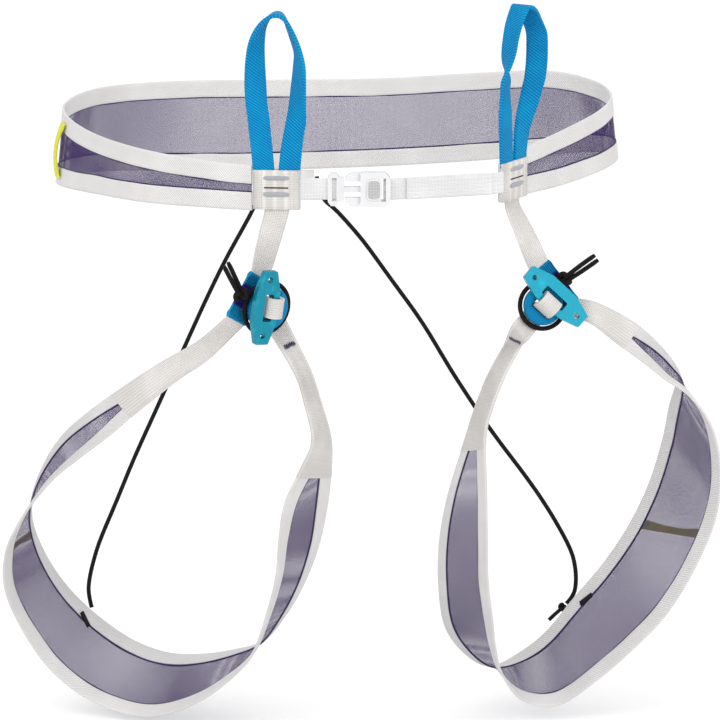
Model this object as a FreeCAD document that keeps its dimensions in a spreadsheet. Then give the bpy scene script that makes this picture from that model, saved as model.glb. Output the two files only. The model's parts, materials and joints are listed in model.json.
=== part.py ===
"""Ultralight climbing harness: see-through mesh bands with white edge tapes, blue tie-in loops,
a small side-release waist buckle, toggle-plate leg buckles and black rear riser cords.

Millimetres, +Z up, +Y towards the wearer's back, origin on the waist ring's axis at the level of
the belt's front upper edge. Webbing bands are ruled strips between two edge routes; hard parts are
PartDesign bodies; small turned and folded pieces are primitives and booleans.
"""
import FreeCAD, Part
import math
import os
from FreeCAD import Placement, Rotation, Vector
import Sketcher

DOC = FreeCAD.newDocument("climbing_harness")

SIZES = [
    ("waist_width", 294.0), ("waist_depth", 202.0), ("belt_height", 50.0),
    ("leg_loop_width", 172.0), ("leg_loop_depth", 155.0), ("leg_loop_drop", 247.0),
    ("tape_width", 9.6), ("tape_thick", 1.6), ("mesh_thick", 0.8),
    ("webbing_width", 12.5), ("webbing_thick", 1.8), ("strap_width", 11.0), ("strap_thick", 1.2),
    ("wrap_width", 24.0), ("wrap_height", 20.0), ("wrap_thick", 4.8), ("hinge_gap", 1.3),
    ("tack_thick", 0.6), ("tack_length", 13.0), ("tack_height", 3.0),
    ("upper_tack_drop", 3.8), ("lower_tack_drop", 12.2),
    ("tie_loop_height", 77.0), ("tie_loop_width", 11.0), ("tie_loop_thick", 2.0),
    ("riser_drop", 30.0),
    ("ladder_strap", 13.7), ("buckle_drop", 9.6), ("buckle_slot", 2.4), ("strap_play", 0.4),
    ("ladder_bar", 2.0), ("ladder_web", 1.2), ("ladder_rim", 2.4), ("shoulder_length", 2.4),
    ("shoulder_step", 2.2), ("plug_thick", 3.6), ("tongue_length", 14.5), ("tongue_height", 2.6),
    ("arm_play", 0.5), ("arm_reach", 15.0), ("arm_room", 2.9), ("arm_bulge", 2.3), ("mouth_gap", 8.2),
    ("socket_rim", 2.8), ("socket_wall", 1.6), ("socket_play", 0.6), ("socket_skin", 1.0),
    ("cavity_play", 0.4), ("cavity_end", 0.8), ("socket_web", 2.8), ("socket_bar", 2.2),
    ("plate_length", 38.0), ("plate_width", 14.2), ("plate_thick", 3.0), ("plate_bar", 3.5),
    ("plate_slot", 5.0), ("plate_slot_height", 14.0), ("plate_end", 7.5), ("plate_hole", 3.0),
    ("tab_width", 10.0), ("tab_thick", 2.2), ("tab_play", 0.35), ("tab_reach", 0.6),
    ("eye_play", 0.4), ("eye_wall", 1.5), ("eye_depth", 6.0),
    ("elastic_diameter", 2.4), ("elastic_gap", 0.4), ("knot_diameter", 8.0), ("tail_length", 18.0),
    ("sleeve_length", 26.0), ("sleeve_width", 13.0), ("sleeve_thick", 3.0),
    ("cord_diameter", 2.4), ("cord_knot_diameter", 5.6), ("cord_tail_length", 10.0),
    ("gear_keeper_width", 8.0), ("leg_keeper_width", 4.0), ("keeper_thick", 1.2), ("keeper_bow", 2.6),
    ("anchor_width", 26.0), ("anchor_height", 7.0), ("anchor_thick", 4.0), ("anchor_gap", 0.3),
]

# Sizes that follow from those above, as formulas on the same sheet.
DERIVED = [
    ("plug_length", "=ladder_bar + buckle_slot + ladder_web + shoulder_length"),
    ("plug_height", "=strap_width + 2 * strap_play + 2 * ladder_rim"),
    ("slot_half", "=strap_width / 2 + strap_play"),
    ("socket_start", "=plug_length + mouth_gap"),
    ("socket_height", "=strap_width + 2 * strap_play + 2 * socket_rim"),
    ("socket_thick", "=plug_thick + 2 * cavity_play + 2 * socket_skin"),
    ("cavity_half", "=socket_height / 2 - socket_wall"),
    ("cavity_stop", "=plug_length + max(tongue_length; arm_reach) + cavity_end"),
    ("socket_stop", "=cavity_stop + socket_web + buckle_slot + socket_bar"),
    ("arm_low", "=tongue_height / 2 + arm_room"),
    ("arm_high", "=cavity_half - socket_play"),
    ("tab_bore", "=sqrt(pow(plate_bar / 2; 2) + pow(plate_thick / 2; 2)) + tab_play"),
    ("eye_front", "=tab_bore + tab_play"),
    ("tab_depth", "=eye_front + eye_depth + tab_reach"),
    ("eye_half_across", "=tab_bore + tab_thick + eye_play"),
    ("eye_half_along", "=tab_width / 2 + eye_play"),
]


def make_sheet():
    """The driving sizes, one named cell each."""
    sheet = DOC.addObject("Spreadsheet::Sheet", "Sizes")
    for row, (alias, value) in enumerate(SIZES + DERIVED, start=1):
        sheet.set("A%d" % row, alias)
        sheet.set("B%d" % row, str(value))
        sheet.setAlias("B%d" % row, alias)
    DOC.recompute()
    return {alias: float(sheet.get(alias)) for alias, _ in SIZES + DERIVED}


S = make_sheet()
NODES = []

# Small gaps between sewn pieces that curve differently.
SEWN_GAP = 0.35
STRAND_GAP = 0.4

# How far the real sizes are from those that the routes below were drawn at.
DRAWN = {"waist_width": 294.0, "waist_depth": 202.0, "belt_height": 50.0,
         "leg_loop_width": 172.0, "leg_loop_depth": 155.0, "leg_loop_drop": 247.0,
         "tie_loop_width": 11.0}
SCALE_X = S["waist_width"] / DRAWN["waist_width"]
SCALE_Y = S["waist_depth"] / DRAWN["waist_depth"]
SCALE_H = S["belt_height"] / DRAWN["belt_height"]
LEG_SCALE = Vector(S["leg_loop_width"] / DRAWN["leg_loop_width"],
                   S["leg_loop_depth"] / DRAWN["leg_loop_depth"],
                   S["leg_loop_drop"] / DRAWN["leg_loop_drop"])

# Belt route: upper edge x, y, z and lower edge x, y, z, from the left wrap round the back.
BELT = [
    (-46, -98, 3, -46, -98, -20), (-66, -92, 4, -66, -92, -20), (-96, -75, 6, -96, -76, -21),
    (-121, -48, 8, -122, -51, -22), (-138, -14, 10, -142, -18, -25), (-144, 15, 12, -148, 12, -28),
    (-138, 45, 13, -142, 44, -31), (-121, 70, 13, -123, 70, -34), (-82, 90, 12, -82, 90, -38),
    (-28, 99, 11, -28, 99, -39), (24, 103, 11, 24, 103, -38), (72, 102, 14, 72, 102, -35),
    (112, 88, 18, 114, 89, -29), (135, 62, 18, 139, 62, -22), (144, 26, 17, 148, 28, -18),
    (137, -10, 15, 140, -8, -17), (119, -40, 10, 120, -39, -19), (101, -65, 6, 101, -65, -19),
]

# Leg loop routes: upper (rear) edge then lower (front) edge, from the outer strand round to the
# inner one. The first and last rows are joined to the leg buckle by leg_rows().
LEFT_LEG = [
    (-71, -89, -90, -64, -97, -97), (-91, -79, -104, -81, -92, -110),
    (-112, -67, -121, -102, -86, -128), (-130, -54, -137, -116, -82, -141),
    (-145, -36, -155, -131, -75, -154), (-156, -17, -176, -146, -66, -168),
    (-163, 0, -196, -158, -54, -184), (-165, 12, -213, -168, -42, -201),
    (-161, 22, -231, -176, -28, -221), (-153, 32, -250, -178, -14, -245),
    (-142, 40, -267, -170, -2, -272), (-128, 46, -282, -155, 4, -297),
    (-112, 49, -294, -133, 6, -315), (-94, 47, -300, -105, 2, -322),
    (-76, 41, -299, -79, -8, -312), (-57, 30, -293, -58, -21, -293),
    (-41, 15, -283, -45, -37, -273), (-28, -6, -261, -37, -55, -245),
    (-18, -24, -238, -32, -68, -221), (-10, -42, -212, -30, -79, -196),
    (-5, -60, -184, -27, -87, -176), (-3, -74, -162, -19, -93, -157),
    (-3, -85, -142, -13, -95, -141), (-8, -91, -121, -17, -99, -119),
    (-13, -96, -104, -22, -104, -102),
]
RIGHT_LEG = [
    (132, -89, -70, 128, -97, -79), (151, -75, -83, 142, -90, -91),
    (166, -56, -100, 157, -84, -103), (175, -40, -114, 168, -77, -113),
    (179, -26, -124, 182, -67, -125), (178, -12, -134, 194, -57, -144),
    (176, 0, -148, 200, -47, -169), (174, 12, -168, 199, -36, -199),
    (168, 24, -196, 189, -23, -232), (158, 32, -222, 175, -14, -260),
    (145, 40, -246, 158, -8, -281), (129, 45, -268, 139, -1, -301),
    (114, 47, -288, 119, 3, -316), (99, 46, -300, 100, 0, -312),
    (84, 39, -305, 88, -11, -293), (70, 28, -295, 84, -22, -274),
    (58, 15, -275, 82, -33, -255), (54, 0, -247, 79, -46, -229),
    (54, -16, -217, 78, -60, -199), (58, -35, -186, 77, -73, -171),
    (66, -57, -151, 76, -80, -144), (71, -69, -130, 79, -85, -127),
    (77, -77, -111, 86, -90, -107), (84, -84, -95, 93, -95, -92),
]

# Drop of the cords' upper ends below the top of the anchor tab.
CORD_DROP = 3.4

# Rear riser cord routes, hand-laid, from beside the anchor tab to the leg loop.
LEFT_CORD = [
    (-41, 99, -43), (-43.5, 98, -53), (-47.5, 97, -62), (-53.5, 94, -72.5), (-62.5, 89, -88),
    (-73, 84, -109), (-83, 79, -130.5), (-98, 72.5, -163), (-113, 66, -195), (-122, 62, -217),
    (-131.5, 58, -238.5), (-135, 56, -249.5), (-137.5, 54, -260), (-138, 52, -268), (-136, 50, -275),
]
RIGHT_CORD = [
    (-12, 99, -43), (-11, 99, -50), (-8.3, 99, -56), (-2, 98, -61), (3.7, 97, -67), (13, 95, -77.5),
    (21, 92, -88), (29, 90, -99), (45.5, 86, -121), (58.5, 82, -142.5), (65, 80, -153),
    (83.5, 75, -180.5), (105, 68, -207.5), (117.5, 65, -226), (128, 61, -244.5), (130.5, 59, -254),
    (131, 57, -263), (129.5, 55, -270), (125.5, 54, -274),
]

# Tie-in loops: distance along the wrap, distance behind its middle, share of the loop's height,
# turn of the webbing's width.
TIE_LOOPS = {
    "left": [
        (-6.6, 0, 0.0, 0), (-7.4, 0, 0.125, 0), (-8.2, 0, 0.22, 2), (-8.9, 0, 0.32, 4),
        (-9.9, 0, 0.42, 7), (-10.4, 0, 0.56, 14), (-10.4, 0, 0.70, 34), (-9.6, 0, 0.82, 52),
        (-7.4, 0, 0.914, 70), (-3.5, 0, 0.98, 82), (1.0, 0, 1.0, 90), (4.4, 0, 0.97, 98),
        (7.0, 0, 0.90, 106), (9.4, 0, 0.82, 110), (11.2, 0, 0.74, 112), (11.6, 0, 0.66, 122),
        (11.2, 0, 0.54, 131), (10.6, 0, 0.42, 140), (10.1, 0, 0.32, 158), (8.7, 0, 0.22, 164),
        (7.6, 0, 0.125, 172), (6.6, 0, 0.0, 180),
    ],
    "right": [
        (-6.6, 0, 0.0, 0), (-7.2, 0, 0.15, 0), (-8.0, 0, 0.30, 2), (-8.2, 0, 0.44, 12),
        (-8.2, -0.4, 0.535, 14), (-7.6, -0.6, 0.63, 50), (-6.5, -1.0, 0.717, 68), (-5.4, -1.4, 0.80, 72),
        (-3.6, -1.8, 0.88, 78), (-0.5, -2.4, 0.96, 84), (2.0, -3.0, 1.0, 90), (6.5, -3.8, 0.97, 98),
        (9.2, -4.8, 0.90, 106), (10.8, -6.6, 0.82, 112), (11.6, -6.6, 0.72, 116), (11.6, -6.4, 0.62, 120),
        (11.2, -5.8, 0.52, 124), (10.4, -4.6, 0.44, 130), (9.2, -3.2, 0.34, 142), (8.0, -1.6, 0.24, 158),
        (7.0, -0.6, 0.14, 172), (6.6, 0, 0.0, 180),
    ],
}


# ---------------------------------------------------------------- strips and cords

def smooth(points, steps):
    """Catmull-Rom points through a route, steps per stretch."""
    out = []
    last = len(points) - 1
    for i in range(last):
        p1, p2 = points[i], points[i + 1]
        p0 = points[i - 1] if i > 0 else p1 * 2 - p2
        p3 = points[i + 2] if i + 2 <= last else p2 * 2 - p1
        for k in range(steps):
            t = k / steps
            out.append((p1 * 2 + (p2 - p0) * t + (p0 * 2 - p1 * 5 + p2 * 4 - p3) * t ** 2
                        + (p1 * 3 - p0 - p2 * 3 + p3) * t ** 3) * 0.5)
    out.append(points[last])
    return out


def sections(rows, steps=3):
    """Sections of a band from edge rows: edge point, width direction, outward normal, width."""
    upper = smooth([Vector(*row[:3]) for row in rows], steps)
    lower = smooth([Vector(*row[3:]) for row in rows], steps)
    middle = [(a + b) * 0.5 for a, b in zip(upper, lower)]
    centre = sum(middle, Vector()) * (1.0 / len(middle))
    frames = []
    for i, (a, b) in enumerate(zip(upper, lower)):
        across = (b - a).normalize()
        along = middle[min(i + 1, len(middle) - 1)] - middle[max(i - 1, 0)]
        frames.append([a, across, across.cross(along).normalize(), (b - a).Length])
    outward = sum((f[2].dot(m - centre) for f, m in zip(frames, middle)))
    if outward < 0:
        for frame in frames:
            frame[2] = frame[2] * -1.0
    return frames


def strip(frames, start, end, inner, outer):
    """Solid between two distances across the band and two offsets along its outward normal.

    start and end are functions of the band's width, so that a strip can follow either edge."""
    wires = []
    for point, across, normal, width in frames:
        u0, u1 = start(width), end(width)
        corners = [point + across * u0 + normal * inner, point + across * u1 + normal * inner,
                   point + across * u1 + normal * outer, point + across * u0 + normal * outer]
        wires.append(Part.makePolygon(corners + corners[:1]))
    return Part.makeLoft(wires, True, True)


def rounded_path(points, label):
    """Straight runs joined by tangent arcs, each as large as its two runs allow."""
    edges = []
    radii = []
    last = points[0]
    for before, corner, after in zip(points, points[1:], points[2:]):
        into = (corner - before).normalize()
        out_of = (after - corner).normalize()
        half_turn = into.getAngle(out_of) / 2
        reach = 0.45 * min((corner - before).Length, (after - corner).Length)
        radius = reach / math.tan(half_turn)
        radii.append(radius)
        bisector = (out_of - into).normalize()
        middle = corner + bisector * (radius / math.cos(half_turn) - radius)
        first, second = corner - into * reach, corner + out_of * reach
        edges.append(Part.LineSegment(last, first).toShape())
        edges.append(Part.Arc(first, middle, second).toShape())
        last = second
    edges.append(Part.LineSegment(last, points[-1]).toShape())
    print(label, "arc radii", [round(r, 1) for r in radii])
    return Part.Wire(edges)


def tube(points, diameter, label):
    """Round cord along a route."""
    path = rounded_path(points, label)
    start = (points[1] - points[0]).normalize()
    ring = Part.Wire([Part.makeCircle(diameter / 2, points[0], start)])
    solid = path.makePipeShell([ring], True, False, 1)
    section = math.pi * diameter ** 2 / 4
    share = solid.Volume / (section * path.Length)
    print(label, "length", round(path.Length, 1), "volume share", round(share, 4))
    return solid


def add_shape(label, shape):
    """A sub-part whose form is a band, strip or cord along a free route."""
    piece = DOC.addObject("Part::Feature", label)
    piece.Shape = shape
    piece.Label = label
    piece.Placement = Placement()
    NODES.append(piece)
    return piece


def keep(piece, label, placement=None):
    """Names a finished sub-part and puts it in place."""
    piece.Label = label
    if placement is not None:
        piece.Placement = placement
    NODES.append(piece)
    return piece


# ---------------------------------------------------------------- bound primitives and bodies

def bind(piece, **sizes):
    """Binds an object's properties to expressions on the sizes sheet."""
    for name, expression in sizes.items():
        piece.setExpression(name.replace("_", "."), expression)


def box(name, length, width, height, x, y, z):
    """Part::Box with its sizes and corner bound to expressions."""
    piece = DOC.addObject("Part::Box", name)
    bind(piece, Length=length, Width=width, Height=height)
    bind(piece, Placement_Base_x=x, Placement_Base_y=y, Placement_Base_z=z)
    return piece


def cylinder(name, radius, height, x, y, z, rotation=None):
    """Part::Cylinder with its sizes and base bound to expressions."""
    piece = DOC.addObject("Part::Cylinder", name)
    if rotation is not None:
        piece.Placement = Placement(Vector(), rotation)
    bind(piece, Radius=radius, Height=height)
    bind(piece, Placement_Base_x=x, Placement_Base_y=y, Placement_Base_z=z)
    return piece


def fuse(name, *pieces):
    """Part::MultiFuse of bound pieces."""
    joined = DOC.addObject("Part::MultiFuse", name)
    joined.Shapes = list(pieces)
    return joined


def cut(name, base, tool):
    """Part::Cut of bound pieces."""
    piece = DOC.addObject("Part::Cut", name)
    piece.Base = base
    piece.Tool = tool
    return piece


def plane(body, role):
    """One of a body's own origin planes."""
    return next(f for f in body.Origin.OriginFeatures if f.Role == role)


def outline(body, name, role, loops):
    """Sketch of closed polygons whose corners are bound to expressions on the sizes sheet."""
    sketch = body.newObject("Sketcher::SketchObject", name)
    sketch.AttachmentSupport = [(plane(body, role), "")]
    sketch.MapMode = "FlatFace"
    for number, corners in enumerate(loops):
        first = sketch.GeometryCount
        count = len(corners)
        spread = [Vector(10 * math.cos(2 * math.pi * i / count) + 40 * number,
                         10 * math.sin(2 * math.pi * i / count), 0) for i in range(count)]
        for i in range(count):
            sketch.addGeometry(Part.LineSegment(spread[i], spread[(i + 1) % count]), False)
        for i in range(count):
            sketch.addConstraint(Sketcher.Constraint("Coincident", first + i, 2, first + (i + 1) % count, 1))
        for i, (x, y) in enumerate(corners):
            for kind, expression in (("DistanceX", x), ("DistanceY", y)):
                index = sketch.addConstraint(Sketcher.Constraint(kind, -1, 1, first + i, 1, 1.0))
                sketch.setExpression("Constraints[%d]" % index, expression)
    return sketch


def pad(body, sketch, length, name):
    """Pad to both sides of its sketch."""
    feature = body.newObject("PartDesign::Pad", name)
    feature.Profile = sketch
    feature.Midplane = True
    feature.setExpression("Length", length)
    sketch.Visibility = False
    return feature


def pocket(body, sketch, length, name):
    """Pocket to both sides of its sketch."""
    feature = body.newObject("PartDesign::Pocket", name)
    feature.Profile = sketch
    feature.Midplane = True
    feature.setExpression("Length", length)
    sketch.Visibility = False
    return feature


def round_edges(body, base, names, radius, name):
    """Fillet of named edges of a feature."""
    DOC.recompute()
    feature = body.newObject("PartDesign::Fillet", name)
    feature.Base = (base, names)
    feature.Radius = radius
    return feature


def upright_edges(feature, direction):
    """Straight edges of a feature that run along one direction."""
    DOC.recompute()
    names = []
    for i, edge in enumerate(feature.Shape.Edges, start=1):
        if edge.Curve.TypeId == "Part::GeomLine" and abs(edge.Curve.Direction.dot(direction)) > 0.999:
            names.append("Edge%d" % i)
    return names


# ---------------------------------------------------------------- waist belt

# Wrap centres as drawn, the way the wraps face, and the level of their upper edge.
WRAP_DRAWN = {"left": (-30.0, -100.5), "right": (89.0, -75.5)}
WRAP_TURN = {"left": -4.0, "right": 57.0}
WRAP_TOP = 1.0

# Gap between a wrap's side and the belt's end, and the share of a tape that a keeper is sewn to.
WRAP_GAP = 0.4
KEEPER_SEWN = 0.45

# Where the gear keeper crosses the belt, in frames from its left end.
GEAR_KEEPER = 12.9


def shifted(row, step):
    """An edge row with both its points moved by one step."""
    return (row[0] + step.x, row[1] + step.y, row[2], row[3] + step.x, row[4] + step.y, row[5])


def belt_rows():
    """Belt edge rows at the sheet's sizes; each end meets its wrap's side."""
    rows = []
    for x0, y0, z0, x1, y1, z1 in BELT:
        rows.append((x0 * SCALE_X, y0 * SCALE_Y, z0, x1 * SCALE_X, y1 * SCALE_Y,
                     z0 + (z1 - z0) * SCALE_H))
    reach = S["wrap_width"] / 2 + WRAP_GAP
    for side, along, end, neighbour in (("left", -reach, 0, 1), ("right", reach, -1, -2)):
        step = wrap_point(side, along, 0, 0) - Vector(rows[end][0], rows[end][1], 0)
        rows[end] = shifted(rows[end], step)
        rows[neighbour] = shifted(rows[neighbour], step * 0.5)
    return rows


def edge_width(width):
    """Width of each edge tape where the band is this wide: narrow ends are nearly all tape."""
    return min(S["tape_width"], (width - 1.0) / 2)


def banded(frames, mesh_label, upper_label, lower_label):
    """A mesh panel with a tape on each edge."""
    half_tape, half_mesh = S["tape_thick"] / 2, S["mesh_thick"] / 2
    add_shape(mesh_label, strip(frames, edge_width, lambda w: w - edge_width(w), -half_mesh, half_mesh))
    add_shape(upper_label, strip(frames, lambda w: 0.0, edge_width, -half_tape, half_tape))
    add_shape(lower_label, strip(frames, lambda w: w - edge_width(w), lambda w: w, -half_tape, half_tape))


def between(frames, place):
    """Section of a band at a place between two of its frames."""
    i = min(int(place), len(frames) - 2)
    t = place - i
    (p0, a0, n0, w0), (p1, a1, n1, w1) = frames[i], frames[i + 1]
    return (p0 * (1 - t) + p1 * t, (a0 * (1 - t) + a1 * t).normalize(),
            (n0 * (1 - t) + n1 * t).normalize(), w0 * (1 - t) + w1 * t)


def keeper(frames, first, last, size, label):
    """Narrow webbing across the outside of a band, from tape to tape, bowed off the mesh.

    first and last are its places along the band at the upper and at the lower tape."""
    lift = S["tape_thick"] / 2 + SEWN_GAP + S["keeper_thick"] / 2
    steps = 10
    middles, normals = [], []
    for i in range(steps + 1):
        share = i / steps
        point, across, normal, width = between(frames, first + (last - first) * share)
        sewn = edge_width(width) * KEEPER_SEWN
        bow = S["keeper_bow"] * math.sin(math.pi * share)
        middles.append(point + across * (sewn + (width - 2 * sewn) * share) + normal * (lift + bow))
        normals.append(normal)
    wires = []
    for i, (middle, normal) in enumerate(zip(middles, normals)):
        run = middles[min(i + 1, steps)] - middles[max(i - 1, 0)]
        side = run.cross(normal).normalize()
        rise = side.cross(run).normalize() * (S["keeper_thick"] / 2)
        side = side * (size / 2)
        corners = [middle - side - rise, middle + side - rise, middle + side + rise, middle - side + rise]
        wires.append(Part.makePolygon(corners + corners[:1]))
    add_shape(label, Part.makeLoft(wires, True, True))


def wrap_frames():
    """Where each tie-in wrap sits: its centre, the way it faces, its top and bottom."""
    places = {}
    for side, (x, y) in WRAP_DRAWN.items():
        places[side] = (Vector(x * SCALE_X, y * SCALE_Y, 0), WRAP_TURN[side])
    return places


WRAPS = wrap_frames()


def wrap_placement(side):
    """Placement of a wrap's own frame: x along the belt, y towards the wearer."""
    centre, turn = WRAPS[side]
    return Placement(centre, Rotation(Vector(0, 0, 1), turn))


def wrap_point(side, along, depth, height):
    """A point given in a wrap's own frame."""
    return wrap_placement(side).multVec(Vector(along, depth, height))


def make_wrap(side):
    """Folded webbing wrap with two bar-tacks on its face."""
    body = box("wrap_block_" + side, "Sizes.wrap_width", "Sizes.wrap_thick", "Sizes.wrap_height",
               "-Sizes.wrap_width / 2", "-Sizes.wrap_thick / 2", "%s - Sizes.wrap_height" % WRAP_TOP)
    rounded = DOC.addObject("Part::Fillet", "wrap_" + side)
    rounded.Base = body
    DOC.recompute()
    edges = []
    for i, edge in enumerate(body.Shape.Edges, start=1):
        if abs(edge.Curve.Direction.z) > 0.99:
            edges.append((i, 1.4, 1.4))
    rounded.Edges = edges
    keep(rounded, "tie_in_wrap_" + side, wrap_placement(side))
    tacks = []
    for drop in ("upper_tack_drop", "lower_tack_drop"):
        tacks.append(box("%s_%s" % (drop, side), "Sizes.tack_length", "Sizes.tack_thick",
                         "Sizes.tack_height", "-Sizes.tack_length / 2",
                         "-Sizes.wrap_thick / 2 - Sizes.tack_thick",
                         "%s - Sizes.%s - Sizes.tack_height / 2" % (WRAP_TOP, drop)))
    keep(fuse("tacks_" + side, *tacks), "wrap_tacks_" + side, wrap_placement(side))


def make_tie_loop(side):
    """Tall webbing loop that stands on a wrap, its width turning through half a turn."""
    base = WRAP_TOP + S["hinge_gap"]
    half = S["tie_loop_width"] / 2
    spread = S["tie_loop_width"] / DRAWN["tie_loop_width"]
    place = wrap_placement(side)
    rows = []
    for along, depth, share, turn in TIE_LOOPS[side]:
        middle = Vector(along * spread, depth, base + S["tie_loop_height"] * share)
        angle = math.radians(turn)
        reach = Vector(math.cos(angle), math.sin(angle), 0) * half
        rows.append(as_row(place.multVec(middle - reach), place.multVec(middle + reach)))
    half_thick = S["tie_loop_thick"] / 2
    frames = sections(rows, 3)
    add_shape("tie_in_loop_" + side, strip(frames, lambda w: 0.0, lambda w: w, -half_thick, half_thick))


def make_belt():
    """Belt band, its wraps, the anchor tab and the gear keeper."""
    frames = sections(belt_rows())
    banded(frames, "waist_mesh", "waist_tape_top", "waist_tape_bottom")
    keeper(frames, GEAR_KEEPER, GEAR_KEEPER, S["gear_keeper_width"], "gear_keeper_left")
    for side in ("left", "right"):
        make_wrap(side)
    tab = box("anchor_block", "Sizes.anchor_width", "Sizes.anchor_thick", "Sizes.anchor_height",
              "%s - Sizes.anchor_width / 2" % CORD_ANCHOR.x, "%s - Sizes.anchor_thick / 2" % CORD_ANCHOR.y,
              "%s - Sizes.anchor_height" % CORD_ANCHOR.z)
    keep(tab, "riser_anchor")


# The tab that both rear cords start from hangs on the belt's lower rear edge: its top's middle.
CORD_ANCHOR = Vector(-26.5 * SCALE_X, 99.0 * SCALE_Y, 11.0 - 50.0 * SCALE_H - 0.6)


# ---------------------------------------------------------------- waist buckle and straps

BUCKLE_LEVEL = WRAP_TOP - S["buckle_drop"]

# How far the buckle stands in front of the left strap, and the gaps at the straps' ends.
BUCKLE_FRONT = 0.6
STRAP_GAP = 0.2
TURNED_GAP = 0.8

# Where the folded-back tail lies along the long strap, as shares of it.
TAIL_SPAN = (0.14, 0.915)
TAIL_GAP = 0.15


def buckle_placement():
    """The buckle's own frame: x from the ladder bar to the socket, y towards the wearer."""
    start = wrap_point("left", S["wrap_width"] / 2, 0, BUCKLE_LEVEL)
    return Placement(start + Vector(S["ladder_strap"], -BUCKLE_FRONT, 0), Rotation())


def mirrored(corners):
    """A half outline above the x axis with its mirror image below, as one closed run."""
    return corners + [(x, "-(%s)" % y) for x, y in reversed(corners)]


def make_plug():
    """Ladder end with its strap slot, and the guide tongue."""
    body = DOC.addObject("PartDesign::Body", "plug")
    half = "Sizes.plug_height / 2"
    step = half + " - Sizes.shoulder_step"
    slot_start = "Sizes.ladder_bar"
    slot_stop = "Sizes.ladder_bar + Sizes.buckle_slot"
    waist = slot_stop + " + Sizes.ladder_web"
    tip = "Sizes.plug_length + Sizes.tongue_length"
    ladder = mirrored([("0", half + " - 2"), ("1.5", half), (waist + " - 1", half), (waist, step),
                       ("Sizes.plug_length", step), ("Sizes.plug_length", "Sizes.tongue_height / 2"),
                       (tip, "Sizes.tongue_height / 2")])
    slot = mirrored([(slot_start, "Sizes.slot_half"), (slot_stop, "Sizes.slot_half")])
    pad(body, outline(body, "plug_outline", "XZ_Plane", [ladder, slot]), "Sizes.plug_thick", "plug_pad")
    keep(body, "buckle_plug", buckle_placement())


def make_arm(name, sign):
    """Spring arm that bulges out beside the socket's mouth and reaches into it."""
    body = DOC.addObject("PartDesign::Body", "arm_" + name)
    start = "Sizes.plug_length + Sizes.arm_play"
    end = "Sizes.plug_length + Sizes.arm_reach"
    side = "" if sign > 0 else "-"
    low, high = "Sizes.arm_low", "Sizes.arm_high"
    rise = "Sizes.arm_high + Sizes.arm_bulge"
    mouth = "Sizes.plug_length + Sizes.mouth_gap * "
    shape = [(start, low), (end, low), (end, high + " - 0.9"), (end + " - 1.6", high),
             ("Sizes.socket_start", high), (mouth + "0.93", rise + " - 0.4"), (mouth + "0.63", rise),
             (mouth + "0.32", rise + " - 0.9"), (mouth + "0.17", high + " + 0.1"), (start, high + " - 0.3")]
    corners = [(x, side + "(" + y + ")") for x, y in shape]
    pad(body, outline(body, "arm_outline_" + name, "XZ_Plane", [corners]),
        "Sizes.plug_thick - Sizes.cavity_play", "arm_pad_" + name)
    keep(body, "buckle_arm_" + name, buckle_placement())


def make_socket():
    """Socket with a mouth for tongue and arms, a strap slot and rounded corners."""
    body = DOC.addObject("PartDesign::Body", "socket")
    x0, x1 = "Sizes.socket_start", "Sizes.socket_stop"
    half = "Sizes.socket_height / 2"
    outer = mirrored([(x0, half), (x1 + " - 2.5", half), (x1, half + " - 3")])
    block = pad(body, outline(body, "socket_outline", "XZ_Plane", [outer]), "Sizes.socket_thick", "socket_pad")
    round_edges(body, block, upright_edges(block, Vector(0, 1, 0)), 1.0, "socket_round")
    mouth = mirrored([(x0 + " - 2", "Sizes.cavity_half"), ("Sizes.cavity_stop", "Sizes.cavity_half")])
    pocket(body, outline(body, "socket_mouth", "XZ_Plane", [mouth]),
           "Sizes.plug_thick + 2 * Sizes.cavity_play", "socket_cavity")
    slot_stop = x1 + " - Sizes.socket_bar"
    slot = mirrored([(slot_stop + " - Sizes.buckle_slot", "Sizes.slot_half"), (slot_stop, "Sizes.slot_half")])
    pocket(body, outline(body, "socket_slot", "XZ_Plane", [slot]), "Sizes.socket_thick + 2", "socket_strap_slot")
    keep(body, "buckle_socket", buckle_placement())


def flat_strap(label, start, end, half_height, offset=0.0):
    """Straight strap between two points, its face towards the front."""
    along = (end - start).normalize()
    out = Vector(0, 0, 1).cross(along).normalize()
    rows = []
    for point in (start, start + (end - start) * 0.5, end):
        middle = point + out * offset
        rows.append((middle.x, middle.y, middle.z + half_height, middle.x, middle.y, middle.z - half_height))
    frames = sections(rows, 1)
    half = S["strap_thick"] / 2
    add_shape(label, strip(frames, lambda w: 0.0, lambda w: w, -half, half))


def make_waist_straps():
    """Fixed strap to the ladder end, long strap to the socket and its folded-back tail."""
    place = buckle_placement()
    half = S["strap_width"] / 2
    ladder = place.multVec(Vector(-STRAP_GAP, 0, 0))
    start = wrap_point("left", S["wrap_width"] / 2 + STRAP_GAP, 0, BUCKLE_LEVEL)
    flat_strap("waist_strap_left", start, ladder, half)
    socket_end = place.multVec(Vector(S["socket_stop"] + STRAP_GAP, 0, 0))
    wrap_end = wrap_point("right", -S["wrap_width"] / 2 - TURNED_GAP, 0, BUCKLE_LEVEL)
    flat_strap("waist_strap_right", socket_end, wrap_end, half)
    run = wrap_end - socket_end
    flat_strap("waist_strap_tail", socket_end + run * TAIL_SPAN[0], socket_end + run * TAIL_SPAN[1], half,
               -S["strap_thick"] - TAIL_GAP)


# ---------------------------------------------------------------- leg buckles

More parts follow.
